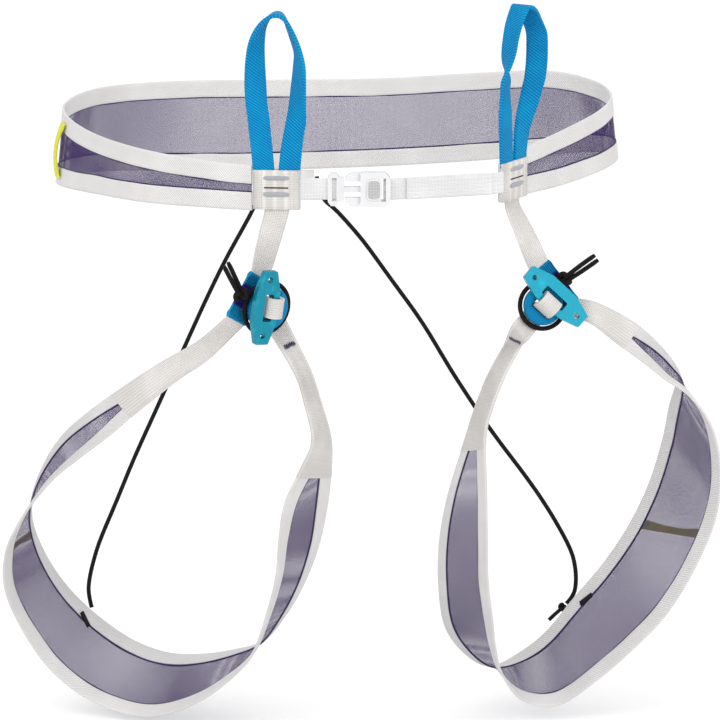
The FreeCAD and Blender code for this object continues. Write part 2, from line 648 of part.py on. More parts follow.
LEG_BUCKLES = {
    "left": {"pivot": Vector(-31.5, -108.5, -67.8), "along": Vector(0.143, 0, 0.99), "face": 35.0,
             "exit": -48.0, "eye": (1.1, -2.4), "knot": 156.0, "tail": 128.0, "lean": -4.0,
             "sleeve": (-7.0, 1.0), "sleeve_turn": 65.0, "sleeve_up": 1},
    "right": {"pivot": Vector(106.4, -104.0, -67.4), "along": Vector(0.728, 0, -0.686), "face": -18.0,
              "exit": 2.0, "eye": (1.0, -0.5), "knot": 180.0, "tail": 168.0, "lean": -12.0,
              "sleeve": (-11.0, -1.0), "sleeve_turn": 80.0, "sleeve_up": -1},
}


# Drop from wrap to leg buckle at which the leg loops' routes were drawn.
RISER_DRAWN = 30.0


def leg_offset(side):
    """How far a leg assembly moves with the wrap that it hangs from."""
    return WRAPS[side][0] - Vector(*WRAP_DRAWN[side], 0) + Vector(0, 0, RISER_DRAWN - S["riser_drop"])


def leg_frame(side):
    """The leg buckle's own frame: x across the plate, y along it, z out of its face."""
    data = LEG_BUCKLES[side]
    along = Vector(data["along"]).normalize()
    flat = along.cross(Vector(0, -1, 0)).normalize()
    turn = Rotation(along, data["face"])
    across = turn.multVec(flat)
    out = turn.multVec(Vector(0, -1, 0))
    return Placement(data["pivot"] + leg_offset(side), Rotation(across, along, out, "ZXY"))


def make_plate(side):
    """Six-sided toggle plate with a slot between its two bars and a hole in each end."""
    body = DOC.addObject("PartDesign::Body", "plate_" + side)
    edge = "Sizes.plate_bar / 2"
    far = "Sizes.plate_bar / 2 - Sizes.plate_width"
    mid = "(Sizes.plate_bar / 2 - Sizes.plate_width / 2)"
    half, end = "Sizes.plate_length / 2", "Sizes.plate_end / 2"
    shoulder = "(Sizes.plate_slot_height / 2 + 1)"
    shape = [(edge, "-" + shoulder), (edge, shoulder), (mid + " + " + end, half), (mid + " - " + end, half),
             (far, shoulder), (far, "-" + shoulder),
             (mid + " - " + end, "-" + half), (mid + " + " + end, "-" + half)]
    slot_far = "-Sizes.plate_bar / 2 - Sizes.plate_slot"
    top = "Sizes.plate_slot_height / 2"
    slot = [("-Sizes.plate_bar / 2", "-" + top), ("-Sizes.plate_bar / 2", top),
            (slot_far, top), (slot_far, "-" + top)]
    pad(body, outline(body, "plate_outline_" + side, "XY_Plane", [shape, slot]),
        "Sizes.plate_thick", "plate_pad_" + side)
    holes = body.newObject("Sketcher::SketchObject", "plate_holes_" + side)
    holes.AttachmentSupport = [(plane(body, "XY_Plane"), "")]
    holes.MapMode = "FlatFace"
    for sign, share in (("", 1), ("-", -1)):
        circle = holes.addGeometry(Part.Circle(Vector(-5, share * 13, 0), Vector(0, 0, 1), 1.5), False)
        for kind, expression in (("DistanceX", mid), ("DistanceY", sign + "(Sizes.plate_length / 2 - 4.6)")):
            index = holes.addConstraint(Sketcher.Constraint(kind, -1, 1, circle, 3, 1.0))
            holes.setExpression("Constraints[%d]" % index, expression)
        index = holes.addConstraint(Sketcher.Constraint("Radius", circle, 1.5))
        holes.setExpression("Constraints[%d]" % index, "Sizes.plate_hole / 2")
    bored = pocket(body, holes, "Sizes.plate_thick + 2", "plate_bore_" + side)
    round_edges(body, bored, upright_edges(bored, Vector(0, 0, 1)), 0.8, "plate_round_" + side)
    keep(body, "toggle_plate_" + side, leg_frame(side))


def fold(name, outer, inner, width, reach):
    """A strip folded round the y axis: half a ring with two straight legs, as bound primitives."""
    around = Rotation(Vector(1, 0, 0), -90)
    parts = []
    for label, radius, spare in (("outer", outer, 0), ("inner", inner, 1)):
        long_side = "%s + %d" % (width, 2 * spare)
        low = "-%s / 2 - %d" % (width, spare)
        ring = cylinder("%s_%s_ring" % (name, label), radius, long_side, "0", low, "0", around)
        legs = box("%s_%s_legs" % (name, label), "2 * (%s)" % radius, long_side, "%s + %d" % (reach, spare),
                   "-(%s)" % radius, low, "-(%s) - %d" % (reach, spare))
        parts.append(fuse("%s_%s" % (name, label), ring, legs))
    return cut(name, parts[0], parts[1])


def make_tab(side):
    """Webbing tab folded round the plate's long bar, with room for the plate to turn."""
    piece = fold("tab_" + side, "Sizes.tab_bore + Sizes.tab_thick", "Sizes.tab_bore", "Sizes.tab_width",
                 "Sizes.tab_depth")
    keep(piece, "toggle_tab_" + side, leg_frame(side))


def eye_radius(side):
    """Outer radius of the eye: it leaves a wall round the slot that the tab's two legs pass through."""
    across, along = LEG_BUCKLES[side]["eye"]
    return math.hypot(S["eye_half_across"] + abs(across), S["eye_half_along"] + abs(along)) + S["eye_wall"]


def eye_spot(side, depth):
    """Middle of the eye at a depth behind the plate, in the leg buckle's frame."""
    across, along = LEG_BUCKLES[side]["eye"]
    return Vector(across, along, -depth)


def make_eye(side):
    """Thick folded webbing eye that the plate bears on."""
    across, along = LEG_BUCKLES[side]["eye"]
    disc = cylinder("eye_disc_" + side, "%s" % eye_radius(side), "Sizes.eye_depth", "0", "0", "0")
    slot = box("eye_slot_" + side, "2 * Sizes.eye_half_across", "2 * Sizes.eye_half_along", "Sizes.eye_depth + 2",
               "-Sizes.eye_half_across - %s" % across, "-Sizes.eye_half_along - (%s)" % along, "-1")
    pierced = cut("eye_pierced_" + side, disc, slot)
    DOC.recompute()
    rounded = DOC.addObject("Part::Fillet", "eye_" + side)
    rounded.Base = pierced
    rims = [i for i, edge in enumerate(pierced.Shape.Edges, start=1)
            if edge.Curve.TypeId == "Part::GeomCircle"]
    radius = S["eye_wall"] * 0.8
    rounded.Edges = [(i, radius, radius) for i in rims]
    spot = eye_spot(side, S["eye_front"] + S["eye_depth"])
    keep(rounded, "toggle_eye_" + side, leg_frame(side).multiply(Placement(spot, Rotation())))


def ring_radius(side):
    """Radius of the elastic ring's centre line, clear of the eye."""
    return eye_radius(side) + S["elastic_gap"] + S["elastic_diameter"] / 2


def make_elastic(side):
    """Elastic ring round the eye, and its knot with two tails."""
    data = LEG_BUCKLES[side]
    middle = eye_spot(side, S["eye_front"] + S["eye_depth"] - S["elastic_diameter"] / 2)
    ring = DOC.addObject("Part::Torus", "elastic_ring_" + side)
    bind(ring, Radius1="%s" % ring_radius(side), Radius2="Sizes.elastic_diameter / 2")
    keep(ring, "toggle_elastic_" + side, leg_frame(side).multiply(Placement(middle, Rotation())))
    ball = DOC.addObject("Part::Sphere", "knot_ball_" + side)
    bind(ball, Radius="Sizes.knot_diameter / 2")
    tails = [ball]
    for number, place in enumerate((-0.55, 0.55)):
        turn = Rotation(Vector(0, 1, 0), 90)
        tails.append(cylinder("knot_tail_%s_%d" % (side, number), "Sizes.elastic_diameter / 2",
                              "Sizes.tail_length", "0", "%s * Sizes.elastic_diameter" % place, "0", turn))
    knot = fuse("knot_" + side, *tails)
    distance = ring_radius(side) + S["elastic_diameter"] / 2 + S["knot_diameter"] / 2 + 0.1
    angle = math.radians(data["knot"])
    spot = middle + Vector(math.cos(angle), math.sin(angle), 0) * distance
    lean = Rotation(Vector(0, 0, 1), data["tail"]).multiply(Rotation(Vector(0, 1, 0), data["lean"]))
    keep(knot, "elastic_knot_" + side, leg_frame(side).multiply(Placement(spot, lean)))


def sleeve_depth():
    """Level of the sleeve's middle behind the plate: it clears the strand that passes in front."""
    return -S["tab_depth"] - S["webbing_thick"] - 2 * STRAND_GAP - S["sleeve_thick"] / 2


def make_sleeve(side):
    """Webbing sleeve behind the eye, its two ends rolled."""
    data = LEG_BUCKLES[side]
    core = box("sleeve_core_" + side, "Sizes.sleeve_length - Sizes.sleeve_thick", "Sizes.sleeve_width",
               "Sizes.sleeve_thick", "-(Sizes.sleeve_length - Sizes.sleeve_thick) / 2",
               "-Sizes.sleeve_width / 2", "-Sizes.sleeve_thick / 2")
    turn = Rotation(Vector(1, 0, 0), -90)
    ends = []
    for number, sign in enumerate(("-", "")):
        ends.append(cylinder("sleeve_end_%s_%d" % (side, number), "Sizes.sleeve_thick / 2", "Sizes.sleeve_width",
                             "%s(Sizes.sleeve_length - Sizes.sleeve_thick) / 2" % sign, "-Sizes.sleeve_width / 2",
                             "0", turn))
    spot = Vector(data["sleeve"][0], data["sleeve"][1], sleeve_depth())
    place = Placement(spot, Rotation(Vector(0, 0, 1), data["sleeve_turn"]))
    keep(fuse("sleeve_" + side, core, *ends), "toggle_sleeve_" + side, leg_frame(side).multiply(place))


def sleeve_end(side, sign, half_width):
    """Edge row across one end of the sleeve."""
    data = LEG_BUCKLES[side]
    angle = math.radians(data["sleeve_turn"])
    along = Vector(math.cos(angle), math.sin(angle), 0)
    across = Vector(-math.sin(angle), math.cos(angle), 0)
    middle = Vector(data["sleeve"][0], data["sleeve"][1], sleeve_depth())
    middle += along * sign * (S["sleeve_length"] / 2 + 0.9)
    a = leg_frame(side).multVec(middle + across * half_width)
    b = leg_frame(side).multVec(middle - across * half_width)
    return a, b


def as_row(a, b):
    """Edge row from two points."""
    return (a.x, a.y, a.z, b.x, b.y, b.z)


def nearest_order(pair, reference):
    """The pair turned so that its first point lies on the reference row's first edge."""
    a, b = pair
    ra, rb = Vector(*reference[:3]), Vector(*reference[3:])
    if (a - ra).Length + (b - rb).Length > (a - rb).Length + (b - ra).Length:
        return as_row(b, a)
    return as_row(a, b)


def exit_row(side, distance):
    """Edge row across the inner strand where it leaves the back of the eye."""
    data = LEG_BUCKLES[side]
    angle = math.radians(data["exit"])
    along = Vector(math.cos(angle), math.sin(angle), 0)
    across = Vector(-math.sin(angle), math.cos(angle), 0)
    level = -S["tab_depth"] - STRAND_GAP - S["webbing_thick"] / 2
    middle = Vector(0, 0, level) + along * distance
    half = S["webbing_width"] / 2 - 0.5
    return leg_frame(side).multVec(middle + across * half), leg_frame(side).multVec(middle - across * half)


def grown(side, point):
    """A drawn point of a leg loop at the sheet's leg loop size, as measured from the leg buckle."""
    pivot = LEG_BUCKLES[side]["pivot"]
    away = point - pivot
    return pivot + Vector(away.x * LEG_SCALE.x, away.y * LEG_SCALE.y, away.z * LEG_SCALE.z)


def leg_rows(side):
    """Leg band edge rows at the sheet's leg loop size, with the strands' ends at the buckle."""
    table = LEFT_LEG if side == "left" else RIGHT_LEG
    shift = leg_offset(side)
    rows = []
    last = len(table) - 1
    for i, row in enumerate(table):
        fade = min(1.0, i / 3.0, (last - i) / 3.0)
        moved = []
        for point in (Vector(*row[:3]), Vector(*row[3:])):
            moved.append(point * (1 - fade) + grown(side, point) * fade + shift)
        rows.append(as_row(*moved))
    half = S["webbing_width"] / 2
    start = nearest_order(sleeve_end(side, -LEG_BUCKLES[side]["sleeve_up"], half), rows[0])
    ends = [nearest_order(exit_row(side, distance), rows[-1]) for distance in (19.0, 11.0, 2.0)]
    return [start] + rows + ends


# Where the outer strand gives way to the mesh band and the band to the inner strand.
BAND_SPAN = {"left": (3, 22), "right": (2, 21)}
# Where a keeper meets the rear and the front tape, where the cord goes through, where the tack is.
KEEPER_ROWS = {"left": (8.6, 9.2), "right": (9.8, 8.4)}
SLOT_ROW = {"left": 11.6, "right": 11.7}
TACK_ROW = {"left": 25.55, "right": 24.6}
STEPS = 3


def small_strip(frames, centre_row, half_length, start, end, inner, outer):
    """Short strip lying on a band, half_length to each side of a row."""
    index = int(round(centre_row * STEPS))
    point, across, normal, width = frames[index]
    along = across.cross(normal).normalize()
    wires = []
    for reach in (-half_length, half_length):
        base = point + along * reach
        corners = [base + across * start + normal * inner, base + across * end + normal * inner,
                   base + across * end + normal * outer, base + across * start + normal * outer]
        wires.append(Part.makePolygon(corners + corners[:1]))
    return Part.makeLoft(wires, True, True)


def make_leg_band(side):
    """Outer strand, mesh band with two tapes, inner strand, keeper, cord slot and bar-tack."""
    rows = leg_rows(side)
    frames = sections(rows, STEPS)
    first, last = BAND_SPAN[side]
    half = S["webbing_thick"] / 2
    whole = (lambda w: 0.0, lambda w: w)
    add_shape("strand_outer_" + side, strip(frames[:first * STEPS + 1], *whole, -half, half))
    banded(frames[first * STEPS:last * STEPS + 1], "leg_mesh_" + side, "leg_tape_rear_" + side,
           "leg_tape_front_" + side)
    add_shape("strand_inner_" + side, strip(frames[last * STEPS:], *whole, -half, half))
    rear, front = KEEPER_ROWS[side]
    keeper(frames, rear * STEPS, front * STEPS, S["leg_keeper_width"], "leg_keeper_" + side)
    lift = S["tape_thick"] / 2 + SEWN_GAP
    slot_at = S["tape_width"]
    add_shape("cord_slot_" + side, small_strip(frames, SLOT_ROW[side], 4.6, slot_at - 1.8, slot_at + 1.4,
                                               -lift - 1.0, -lift))
    middle = frames[int(round(TACK_ROW[side] * STEPS))][3] / 2
    add_shape("strand_tack_" + side, small_strip(frames, TACK_ROW[side], 1.5, middle - 3.2, middle + 3.2,
                                                 half + 0.25, half + 0.25 + S["tack_thick"]))


# How far forward a leg loop swings, in degrees, before its rear cord is taut.
LEG_SWING = 30.0


def riser_gap(side):
    """Gap under a wrap that keeps the riser's turned upper edge clear as the leg loop swings."""
    rise = abs(math.sin(math.radians(WRAP_TURN[side]))) * math.sin(math.radians(LEG_SWING))
    return S["hinge_gap"] + rise * S["webbing_width"] / 2


def make_riser(side):
    """Front riser webbing from the wrap's lower edge to the sleeve, turning as it falls."""
    top = WRAP_TOP - S["wrap_height"] - riser_gap(side)
    half = S["webbing_width"] / 2
    data = LEG_BUCKLES[side]
    end_a, end_b = sleeve_end(side, data["sleeve_up"], half - 0.4)
    start = wrap_point(side, 0, 0, top)
    direction = (wrap_point(side, 1, 0, top) - start).normalize()
    rows = [as_row(start - direction * half, start + direction * half)]
    end = nearest_order((end_a, end_b), rows[0])
    finish = Vector(*end[:3]) * 0.5 + Vector(*end[3:]) * 0.5
    final = (Vector(*end[3:]) - Vector(*end[:3])).normalize()
    for share in (0.33, 0.68):
        middle = start + (finish - start) * share
        turn = (direction * (1 - share) + final * share).normalize()
        rows.append(as_row(middle - turn * (half - 0.2), middle + turn * (half - 0.2)))
    rows.append(end)
    thick = S["webbing_thick"] / 2
    add_shape("front_riser_" + side, strip(sections(rows, 4), lambda w: 0.0, lambda w: w, -thick, thick))


def cord_points(table, side):
    """Cord route that starts beside the anchor tab and ends where its leg loop is."""
    sign = -1 if side == "left" else 1
    reach = S["anchor_width"] / 2 + S["cord_diameter"] / 2 + S["anchor_gap"]
    start = CORD_ANCHOR + Vector(sign * reach, 0, -CORD_DROP) - Vector(*table[0])
    end = Vector(*table[-1])
    shift = grown(side, end) - end + leg_offset(side)
    last = len(table) - 1
    return [Vector(*row) + start * (1 - i / last) + shift * (i / last) for i, row in enumerate(table)]


def make_cords():
    """Both rear riser cords, and the stopper knot on the right one."""
    for side, table in (("left", LEFT_CORD), ("right", RIGHT_CORD)):
        points = cord_points(table, side)
        add_shape("riser_cord_" + side, tube(points, S["cord_diameter"], "riser_cord_" + side))
    end = points[-1]
    before = (points[-1] - points[-2]).normalize()
    ball = DOC.addObject("Part::Sphere", "cord_knot_ball")
    bind(ball, Radius="Sizes.cord_knot_diameter / 2")
    turn = Rotation(Vector(0, 0, 1), Vector(-9, -3, -6.5))
    tail = cylinder("cord_knot_tail", "Sizes.cord_diameter / 2", "Sizes.cord_tail_length", "0", "0", "0", turn)
    gap = S["cord_knot_diameter"] / 2 + 0.05
    keep(fuse("cord_knot", ball, tail), "cord_knot_right", Placement(end + before * gap, Rotation()))


# ---------------------------------------------------------------- building and writing

def check_document():
    """Stops on any failed object, and on any sub-part that is empty or not valid."""
    for piece in DOC.Objects:
        if "Invalid" in piece.State or "Error" in piece.State:
            raise RuntimeError("failed object: " + piece.Name)
    for piece in NODES:
        if piece.Shape.isNull() or not piece.Shape.isValid() or piece.Shape.Volume <= 0:
            raise RuntimeError("bad shape: " + piece.Label)


def main():
    """Builds every sub-part, checks them and writes one STEP file each."""
    make_belt()
    make_plug()
    make_arm("upper", 1)
    make_arm("lower", -1)
    make_socket()
    make_waist_straps()
    for side in ("left", "right"):
        make_tie_loop(side)
        make_plate(side)
        make_tab(side)
        make_eye(side)
        make_elastic(side)
        make_sleeve(side)
        make_riser(side)
        make_leg_band(side)
    make_cords()
    DOC.recompute()
    check_document()
    os.makedirs("parts", exist_ok=True)
    for piece in NODES:
        piece.Shape.exportStep("parts/%s.step" % piece.Label)
    print(len(NODES), "sub-parts")


main()
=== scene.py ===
"""Ultralight climbing harness: its fabric, webbing, cords and buckles over the CAD frame, in metres.

The routes are the CAD model's own, in millimetres, and are scaled once as they are read.
"""

import json
import math

import bmesh
import bpy
from mathutils import Matrix, Vector, noise

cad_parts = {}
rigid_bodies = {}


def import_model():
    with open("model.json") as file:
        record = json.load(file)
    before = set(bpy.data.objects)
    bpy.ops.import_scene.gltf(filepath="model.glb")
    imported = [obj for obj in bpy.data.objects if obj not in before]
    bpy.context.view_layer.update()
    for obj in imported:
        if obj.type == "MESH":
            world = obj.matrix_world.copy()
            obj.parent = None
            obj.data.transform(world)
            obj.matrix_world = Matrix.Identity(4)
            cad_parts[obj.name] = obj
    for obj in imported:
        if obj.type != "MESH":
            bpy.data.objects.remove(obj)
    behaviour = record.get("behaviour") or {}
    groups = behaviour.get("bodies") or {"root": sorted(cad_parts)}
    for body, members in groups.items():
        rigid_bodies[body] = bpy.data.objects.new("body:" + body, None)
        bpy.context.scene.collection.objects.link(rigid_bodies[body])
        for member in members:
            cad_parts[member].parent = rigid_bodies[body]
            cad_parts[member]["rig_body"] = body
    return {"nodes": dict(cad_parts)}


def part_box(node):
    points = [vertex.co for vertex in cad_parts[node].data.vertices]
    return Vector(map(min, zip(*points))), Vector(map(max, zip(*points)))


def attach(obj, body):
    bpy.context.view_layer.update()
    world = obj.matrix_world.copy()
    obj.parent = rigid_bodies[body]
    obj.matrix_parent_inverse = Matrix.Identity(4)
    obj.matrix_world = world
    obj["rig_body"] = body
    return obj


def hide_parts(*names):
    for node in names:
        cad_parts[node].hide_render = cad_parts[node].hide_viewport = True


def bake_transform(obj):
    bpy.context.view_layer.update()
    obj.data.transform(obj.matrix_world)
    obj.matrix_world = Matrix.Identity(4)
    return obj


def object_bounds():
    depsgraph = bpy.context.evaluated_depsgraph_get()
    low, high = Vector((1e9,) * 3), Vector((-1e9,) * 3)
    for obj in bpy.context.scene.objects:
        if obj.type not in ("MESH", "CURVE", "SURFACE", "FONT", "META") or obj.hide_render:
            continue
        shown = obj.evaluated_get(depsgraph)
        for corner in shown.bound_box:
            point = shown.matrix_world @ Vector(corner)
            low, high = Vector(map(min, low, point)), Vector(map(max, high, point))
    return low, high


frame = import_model()
CAD_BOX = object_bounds()
MM = 0.001

# ---------------------------------------------------------------- routes, in millimetres

# Belt: upper edge x, y, z and lower edge x, y, z, from the left wrap round the back.
BELT = [
    (-46, -98, 3, -46, -98, -20), (-66, -92, 4, -66, -92, -20), (-96, -75, 6, -96, -76, -21),
    (-121, -48, 8, -122, -51, -22), (-138, -14, 10, -142, -18, -25), (-144, 15, 12, -148, 12, -28),
    (-138, 45, 13, -142, 44, -31), (-121, 70, 13, -123, 70, -34), (-82, 90, 12, -82, 90, -38),
    (-28, 99, 11, -28, 99, -39), (24, 103, 11, 24, 103, -38), (72, 102, 14, 72, 102, -35),
    (112, 88, 18, 114, 89, -29), (135, 62, 18, 139, 62, -22), (144, 26, 17, 148, 28, -18),
    (137, -10, 15, 140, -8, -17), (119, -40, 10, 120, -39, -19), (101, -65, 6, 101, -65, -19),
]

# Leg loops: rear edge then front edge, from the outer strand round to the inner one.
LEFT_LEG = [
    (-71, -89, -90, -64, -97, -97), (-91, -79, -104, -81, -92, -110),
    (-112, -67, -121, -102, -86, -128), (-130, -54, -137, -116, -82, -141),
    (-145, -36, -155, -131, -75, -154), (-156, -17, -176, -146, -66, -168),
    (-163, 0, -196, -158, -54, -184), (-165, 12, -213, -168, -42, -201),
    (-161, 22, -231, -176, -28, -221), (-153, 32, -250, -178, -14, -245),
    (-142, 40, -267, -170, -2, -272), (-128, 46, -282, -155, 4, -297),
    (-112, 49, -294, -133, 6, -315), (-94, 47, -300, -105, 2, -322),
    (-76, 41, -299, -79, -8, -312), (-57, 30, -293, -58, -21, -293),
    (-41, 15, -283, -45, -37, -273), (-28, -6, -261, -37, -55, -245),
    (-18, -24, -238, -32, -68, -221), (-10, -42, -212, -30, -79, -196),
    (-5, -60, -184, -27, -87, -176), (-3, -74, -162, -19, -93, -157),
    (-3, -85, -142, -13, -95, -141), (-8, -91, -121, -17, -99, -119),
    (-13, -96, -104, -22, -104, -102),
]
RIGHT_LEG = [
    (132, -89, -70, 128, -97, -79), (151, -75, -83, 142, -90, -91),
    (166, -56, -100, 157, -84, -103), (175, -40, -114, 168, -77, -113),
    (179, -26, -124, 182, -67, -125), (178, -12, -134, 194, -57, -144),
    (176, 0, -148, 200, -47, -169), (174, 12, -168, 199, -36, -199),
    (168, 24, -196, 189, -23, -232), (158, 32, -222, 175, -14, -260),
    (145, 40, -246, 158, -8, -281), (129, 45, -268, 139, -1, -301),
    (114, 47, -288, 119, 3, -316), (99, 46, -300, 100, 0, -312),
    (84, 39, -305, 88, -11, -293), (70, 28, -295, 84, -22, -274),
    (58, 15, -275, 82, -33, -255), (54, 0, -247, 79, -46, -229),
    (54, -16, -217, 78, -60, -199), (58, -35, -186, 77, -73, -171),
    (66, -57, -151, 76, -80, -144), (71, -69, -130, 79, -85, -127),
    (77, -77, -111, 86, -90, -107), (84, -84, -95, 93, -95, -92),
]

# Rear riser cords.
LEFT_CORD = [
    (-41, 99, -43), (-43.5, 98, -53), (-47.5, 97, -62), (-53.5, 94, -72.5), (-62.5, 89, -88),
    (-73, 84, -109), (-83, 79, -130.5), (-98, 72.5, -163), (-113, 66, -195), (-122, 62, -217),
    (-131.5, 58, -238.5), (-135, 56, -249.5), (-137.5, 54, -260), (-138, 52, -268), (-136, 50, -275),
]
RIGHT_CORD = [
    (-12, 99, -43), (-11, 99, -50), (-8.3, 99, -56), (-2, 98, -61), (3.7, 97, -67), (13, 95, -77.5),
    (21, 92, -88), (29, 90, -99), (45.5, 86, -121), (58.5, 82, -142.5), (65, 80, -153),
    (83.5, 75, -180.5), (105, 68, -207.5), (117.5, 65, -226), (128, 61, -244.5), (130.5, 59, -254),
    (131, 57, -263), (129.5, 55, -270), (125.5, 54, -274),
]

# Tie-in loops: distance along the wrap, distance behind its middle, share of the height, turn.
TIE_LOOPS = {
    "left": [
        (-6.6, 0, 0.0, 0), (-7.4, 0, 0.125, 0), (-8.2, 0, 0.22, 2), (-8.9, 0, 0.32, 4),
        (-9.9, 0, 0.42, 7), (-10.4, 0, 0.56, 14), (-10.4, 0, 0.70, 34), (-9.6, 0, 0.82, 52),
        (-7.4, 0, 0.914, 70), (-3.5, 0, 0.98, 82), (1.0, 0, 1.0, 90), (4.4, 0, 0.97, 98),
        (7.0, 0, 0.90, 106), (9.4, 0, 0.82, 110), (11.2, 0, 0.74, 112), (11.6, 0, 0.66, 122),
        (11.2, 0, 0.54, 131), (10.6, 0, 0.42, 140), (10.1, 0, 0.32, 158), (8.7, 0, 0.22, 164),
        (7.6, 0, 0.125, 172), (6.6, 0, 0.0, 180),
    ],
    "right": [
        (-6.6, 0, 0.0, 0), (-7.2, 0, 0.15, 0), (-8.0, 0, 0.30, 2), (-8.2, 0, 0.44, 12),
        (-8.2, -0.4, 0.535, 14), (-7.6, -0.6, 0.63, 50), (-6.5, -1.0, 0.717, 68), (-5.4, -1.4, 0.80, 72),
        (-3.6, -1.8, 0.88, 78), (-0.5, -2.4, 0.96, 84), (2.0, -3.0, 1.0, 90), (6.5, -3.8, 0.97, 98),
        (9.2, -4.8, 0.90, 106), (10.8, -6.6, 0.82, 112), (11.6, -6.6, 0.72, 116), (11.6, -6.4, 0.62, 120),
        (11.2, -5.8, 0.52, 124), (10.4, -4.6, 0.44, 130), (9.2, -3.2, 0.34, 142), (8.0, -1.6, 0.24, 158),
        (7.0, -0.6, 0.14, 172), (6.6, 0, 0.0, 180),
    ],
}

# Sizes, in millimetres.
TAPE_WIDTH = 9.6
TAPE_THICK = 1.4
MESH_LAYERS = (-0.34, 0.0, 0.13)
SEAM_AND_SHADE_THICK = 0.9
WEBBING_WIDTH = 12.5
WEBBING_THICK = 1.8
WRAP_WIDTH = 24.0
WRAP_TOP = 1.0
WRAP_THICK = 4.8
WRAP_HEIGHT = 20.0
WRAP_WALL = 1.7
WRAP_GAP = 0.4
HINGE_GAP = 1.3
LEG_SWING = 30.0
TACK_DROPS = (3.8, 12.2)
TACK_LENGTH = 13.0
SLIT_DROP = 8.8
LOOP_HEIGHT = 77.0
LOOP_WIDTH = 11.0
LOOP_THICK = 2.0
STRAP_THICK = 1.2
STRAP_WIDTH = 11.0
STRAP_LEVEL = -8.6
STRAP_SPAN = (-0.06, 1.03)
TAIL_SPAN = (0.14, 0.915)
TAIL_GAP = 0.15
CORD_DIAMETER = 2.4
KEEPER_BOW = 2.6
KEEPER_THICK = 1.0
KEEPER_LIFT = 0.95
GEAR_KEEPER_ROW = 4.3
STEPS = 9
WRAPS = {"left": (Vector((-30.0, -100.5, 0)), -4.0), "right": (Vector((89.0, -75.5, 0)), 57.0)}

# Studio: places in metres, turns in degrees, lamp powers in watts.
CAMERA_PLACE = (0.0117, -2.1347, 0.4102)
CAMERA_TILT = 76.0
CAMERA_LENS = 207.5
SENSOR = 36.0
MIDDLE = Vector((0.01, 0.0, -0.12))
ROOM_LIGHT = 0.88
FLOOR_HALF = 6.0
FLOOR_GLOW = 0.30


# ---------------------------------------------------------------- camera, light and floor

def show(name, data):
    """An object with this data, in the scene."""
    thing = bpy.data.objects.new(name, data)
    bpy.context.scene.collection.objects.link(thing)
    return thing


def add_camera():
    """A long lens a little above the belt, as a catalogue photographer stands."""
    data = bpy.data.cameras.new("camera")
    data.lens = CAMERA_LENS
    data.sensor_width = SENSOR
    data.clip_end = 50.0
    camera = show("camera", data)
    camera.location = CAMERA_PLACE
    camera.rotation_euler = (math.radians(CAMERA_TILT), 0, 0)
    bpy.context.scene.camera = camera


def add_lamp(name, place, size, power):
    """Soft square lamp that faces the middle of the harness."""
    data = bpy.data.lights.new(name, "AREA")
    data.shape = "SQUARE"
    data.size = size
    data.energy = power
    lamp = show(name, data)
    lamp.location = place
    lamp.rotation_euler = (MIDDLE - Vector(place)).to_track_quat("-Z", "Y").to_euler()


def seen_directly(tree):
    """1 for camera, glossy and transmitted rays, which see the plain white backdrop."""
    path = tree.nodes.new("ShaderNodeLightPath")
    first = calc(tree, "MAXIMUM", path.outputs["Is Camera Ray"], path.outputs["Is Glossy Ray"])
    return calc(tree, "MAXIMUM", first, path.outputs["Is Transmission Ray"])


def empty_tree(holder):
    """The node tree of a world or material, with no nodes in it."""
    holder.use_nodes = True
    holder.node_tree.nodes.clear()
    return holder.node_tree


def join_shaders(tree, kind, first, second, output):
    """Two shaders, mixed or added, on an output; returns the joining node."""
    node = tree.nodes.new(kind)
    places = [socket for socket in node.inputs if socket.type == "SHADER"]
    tree.links.new(first.outputs[0], places[0])
    tree.links.new(second.outputs[0], places[1])
    tree.links.new(node.outputs[0], tree.nodes.new(output).inputs["Surface"])
    return node


def add_world():
    """Even grey light from all round, and white where the backdrop itself is seen."""
    world = bpy.data.worlds.new("studio")
    bpy.context.scene.world = world
    tree = empty_tree(world)
    lights = []
    for strength in (ROOM_LIGHT, 1.0):
        node = tree.nodes.new("ShaderNodeBackground")
        node.inputs["Color"].default_value = (1.0, 1.0, 1.0, 1.0)
        node.inputs["Strength"].default_value = strength
        lights.append(node)
    mix = join_shaders(tree, "ShaderNodeMixShader", *lights, "ShaderNodeOutputWorld")
    tree.links.new(seen_directly(tree), mix.inputs["Fac"])


def add_floor():
    """Pale floor just under the leg loops: white where it is lit, darker in the soft shadow."""
    level = CAD_BOX[0][2] - 3 * MM
    corners = [(x * FLOOR_HALF, y * FLOOR_HALF, level) for x, y in ((-1, -1), (1, -1), (1, 1), (-1, 1))]
    mesh = bpy.data.meshes.new("floor")
    mesh.from_pydata(corners, [], [(0, 1, 2, 3)])
    floor = show("floor", mesh)
    material = bpy.data.materials.new("floor")
    tree = empty_tree(material)
    matt = tree.nodes.new("ShaderNodeBsdfDiffuse")
    matt.inputs["Color"].default_value = (0.8, 0.8, 0.8, 1.0)
    glow = tree.nodes.new("ShaderNodeEmission")
    tree.links.new(calc(tree, "MULTIPLY", seen_directly(tree), FLOOR_GLOW), glow.inputs["Strength"])
    join_shaders(tree, "ShaderNodeAddShader", matt, glow, "ShaderNodeOutputMaterial")
    mesh.materials.append(material)


# ---------------------------------------------------------------- material graphs

def calc(tree, operation, first, second=0.0, third=0.0):
    """Math node on sockets or numbers; returns its output."""
    node = tree.nodes.new("ShaderNodeMath")
    node.operation = operation
    for place, value in enumerate((first, second, third)):
        if isinstance(value, (int, float)):
            node.inputs[place].default_value = value
        else:
            tree.links.new(value, node.inputs[place])
    return node.outputs[0]


def wave(tree, value, pitch):
    """Sine of a coordinate, with this pitch."""
    return calc(tree, "SINE", calc(tree, "MULTIPLY", value, 2 * math.pi / pitch))


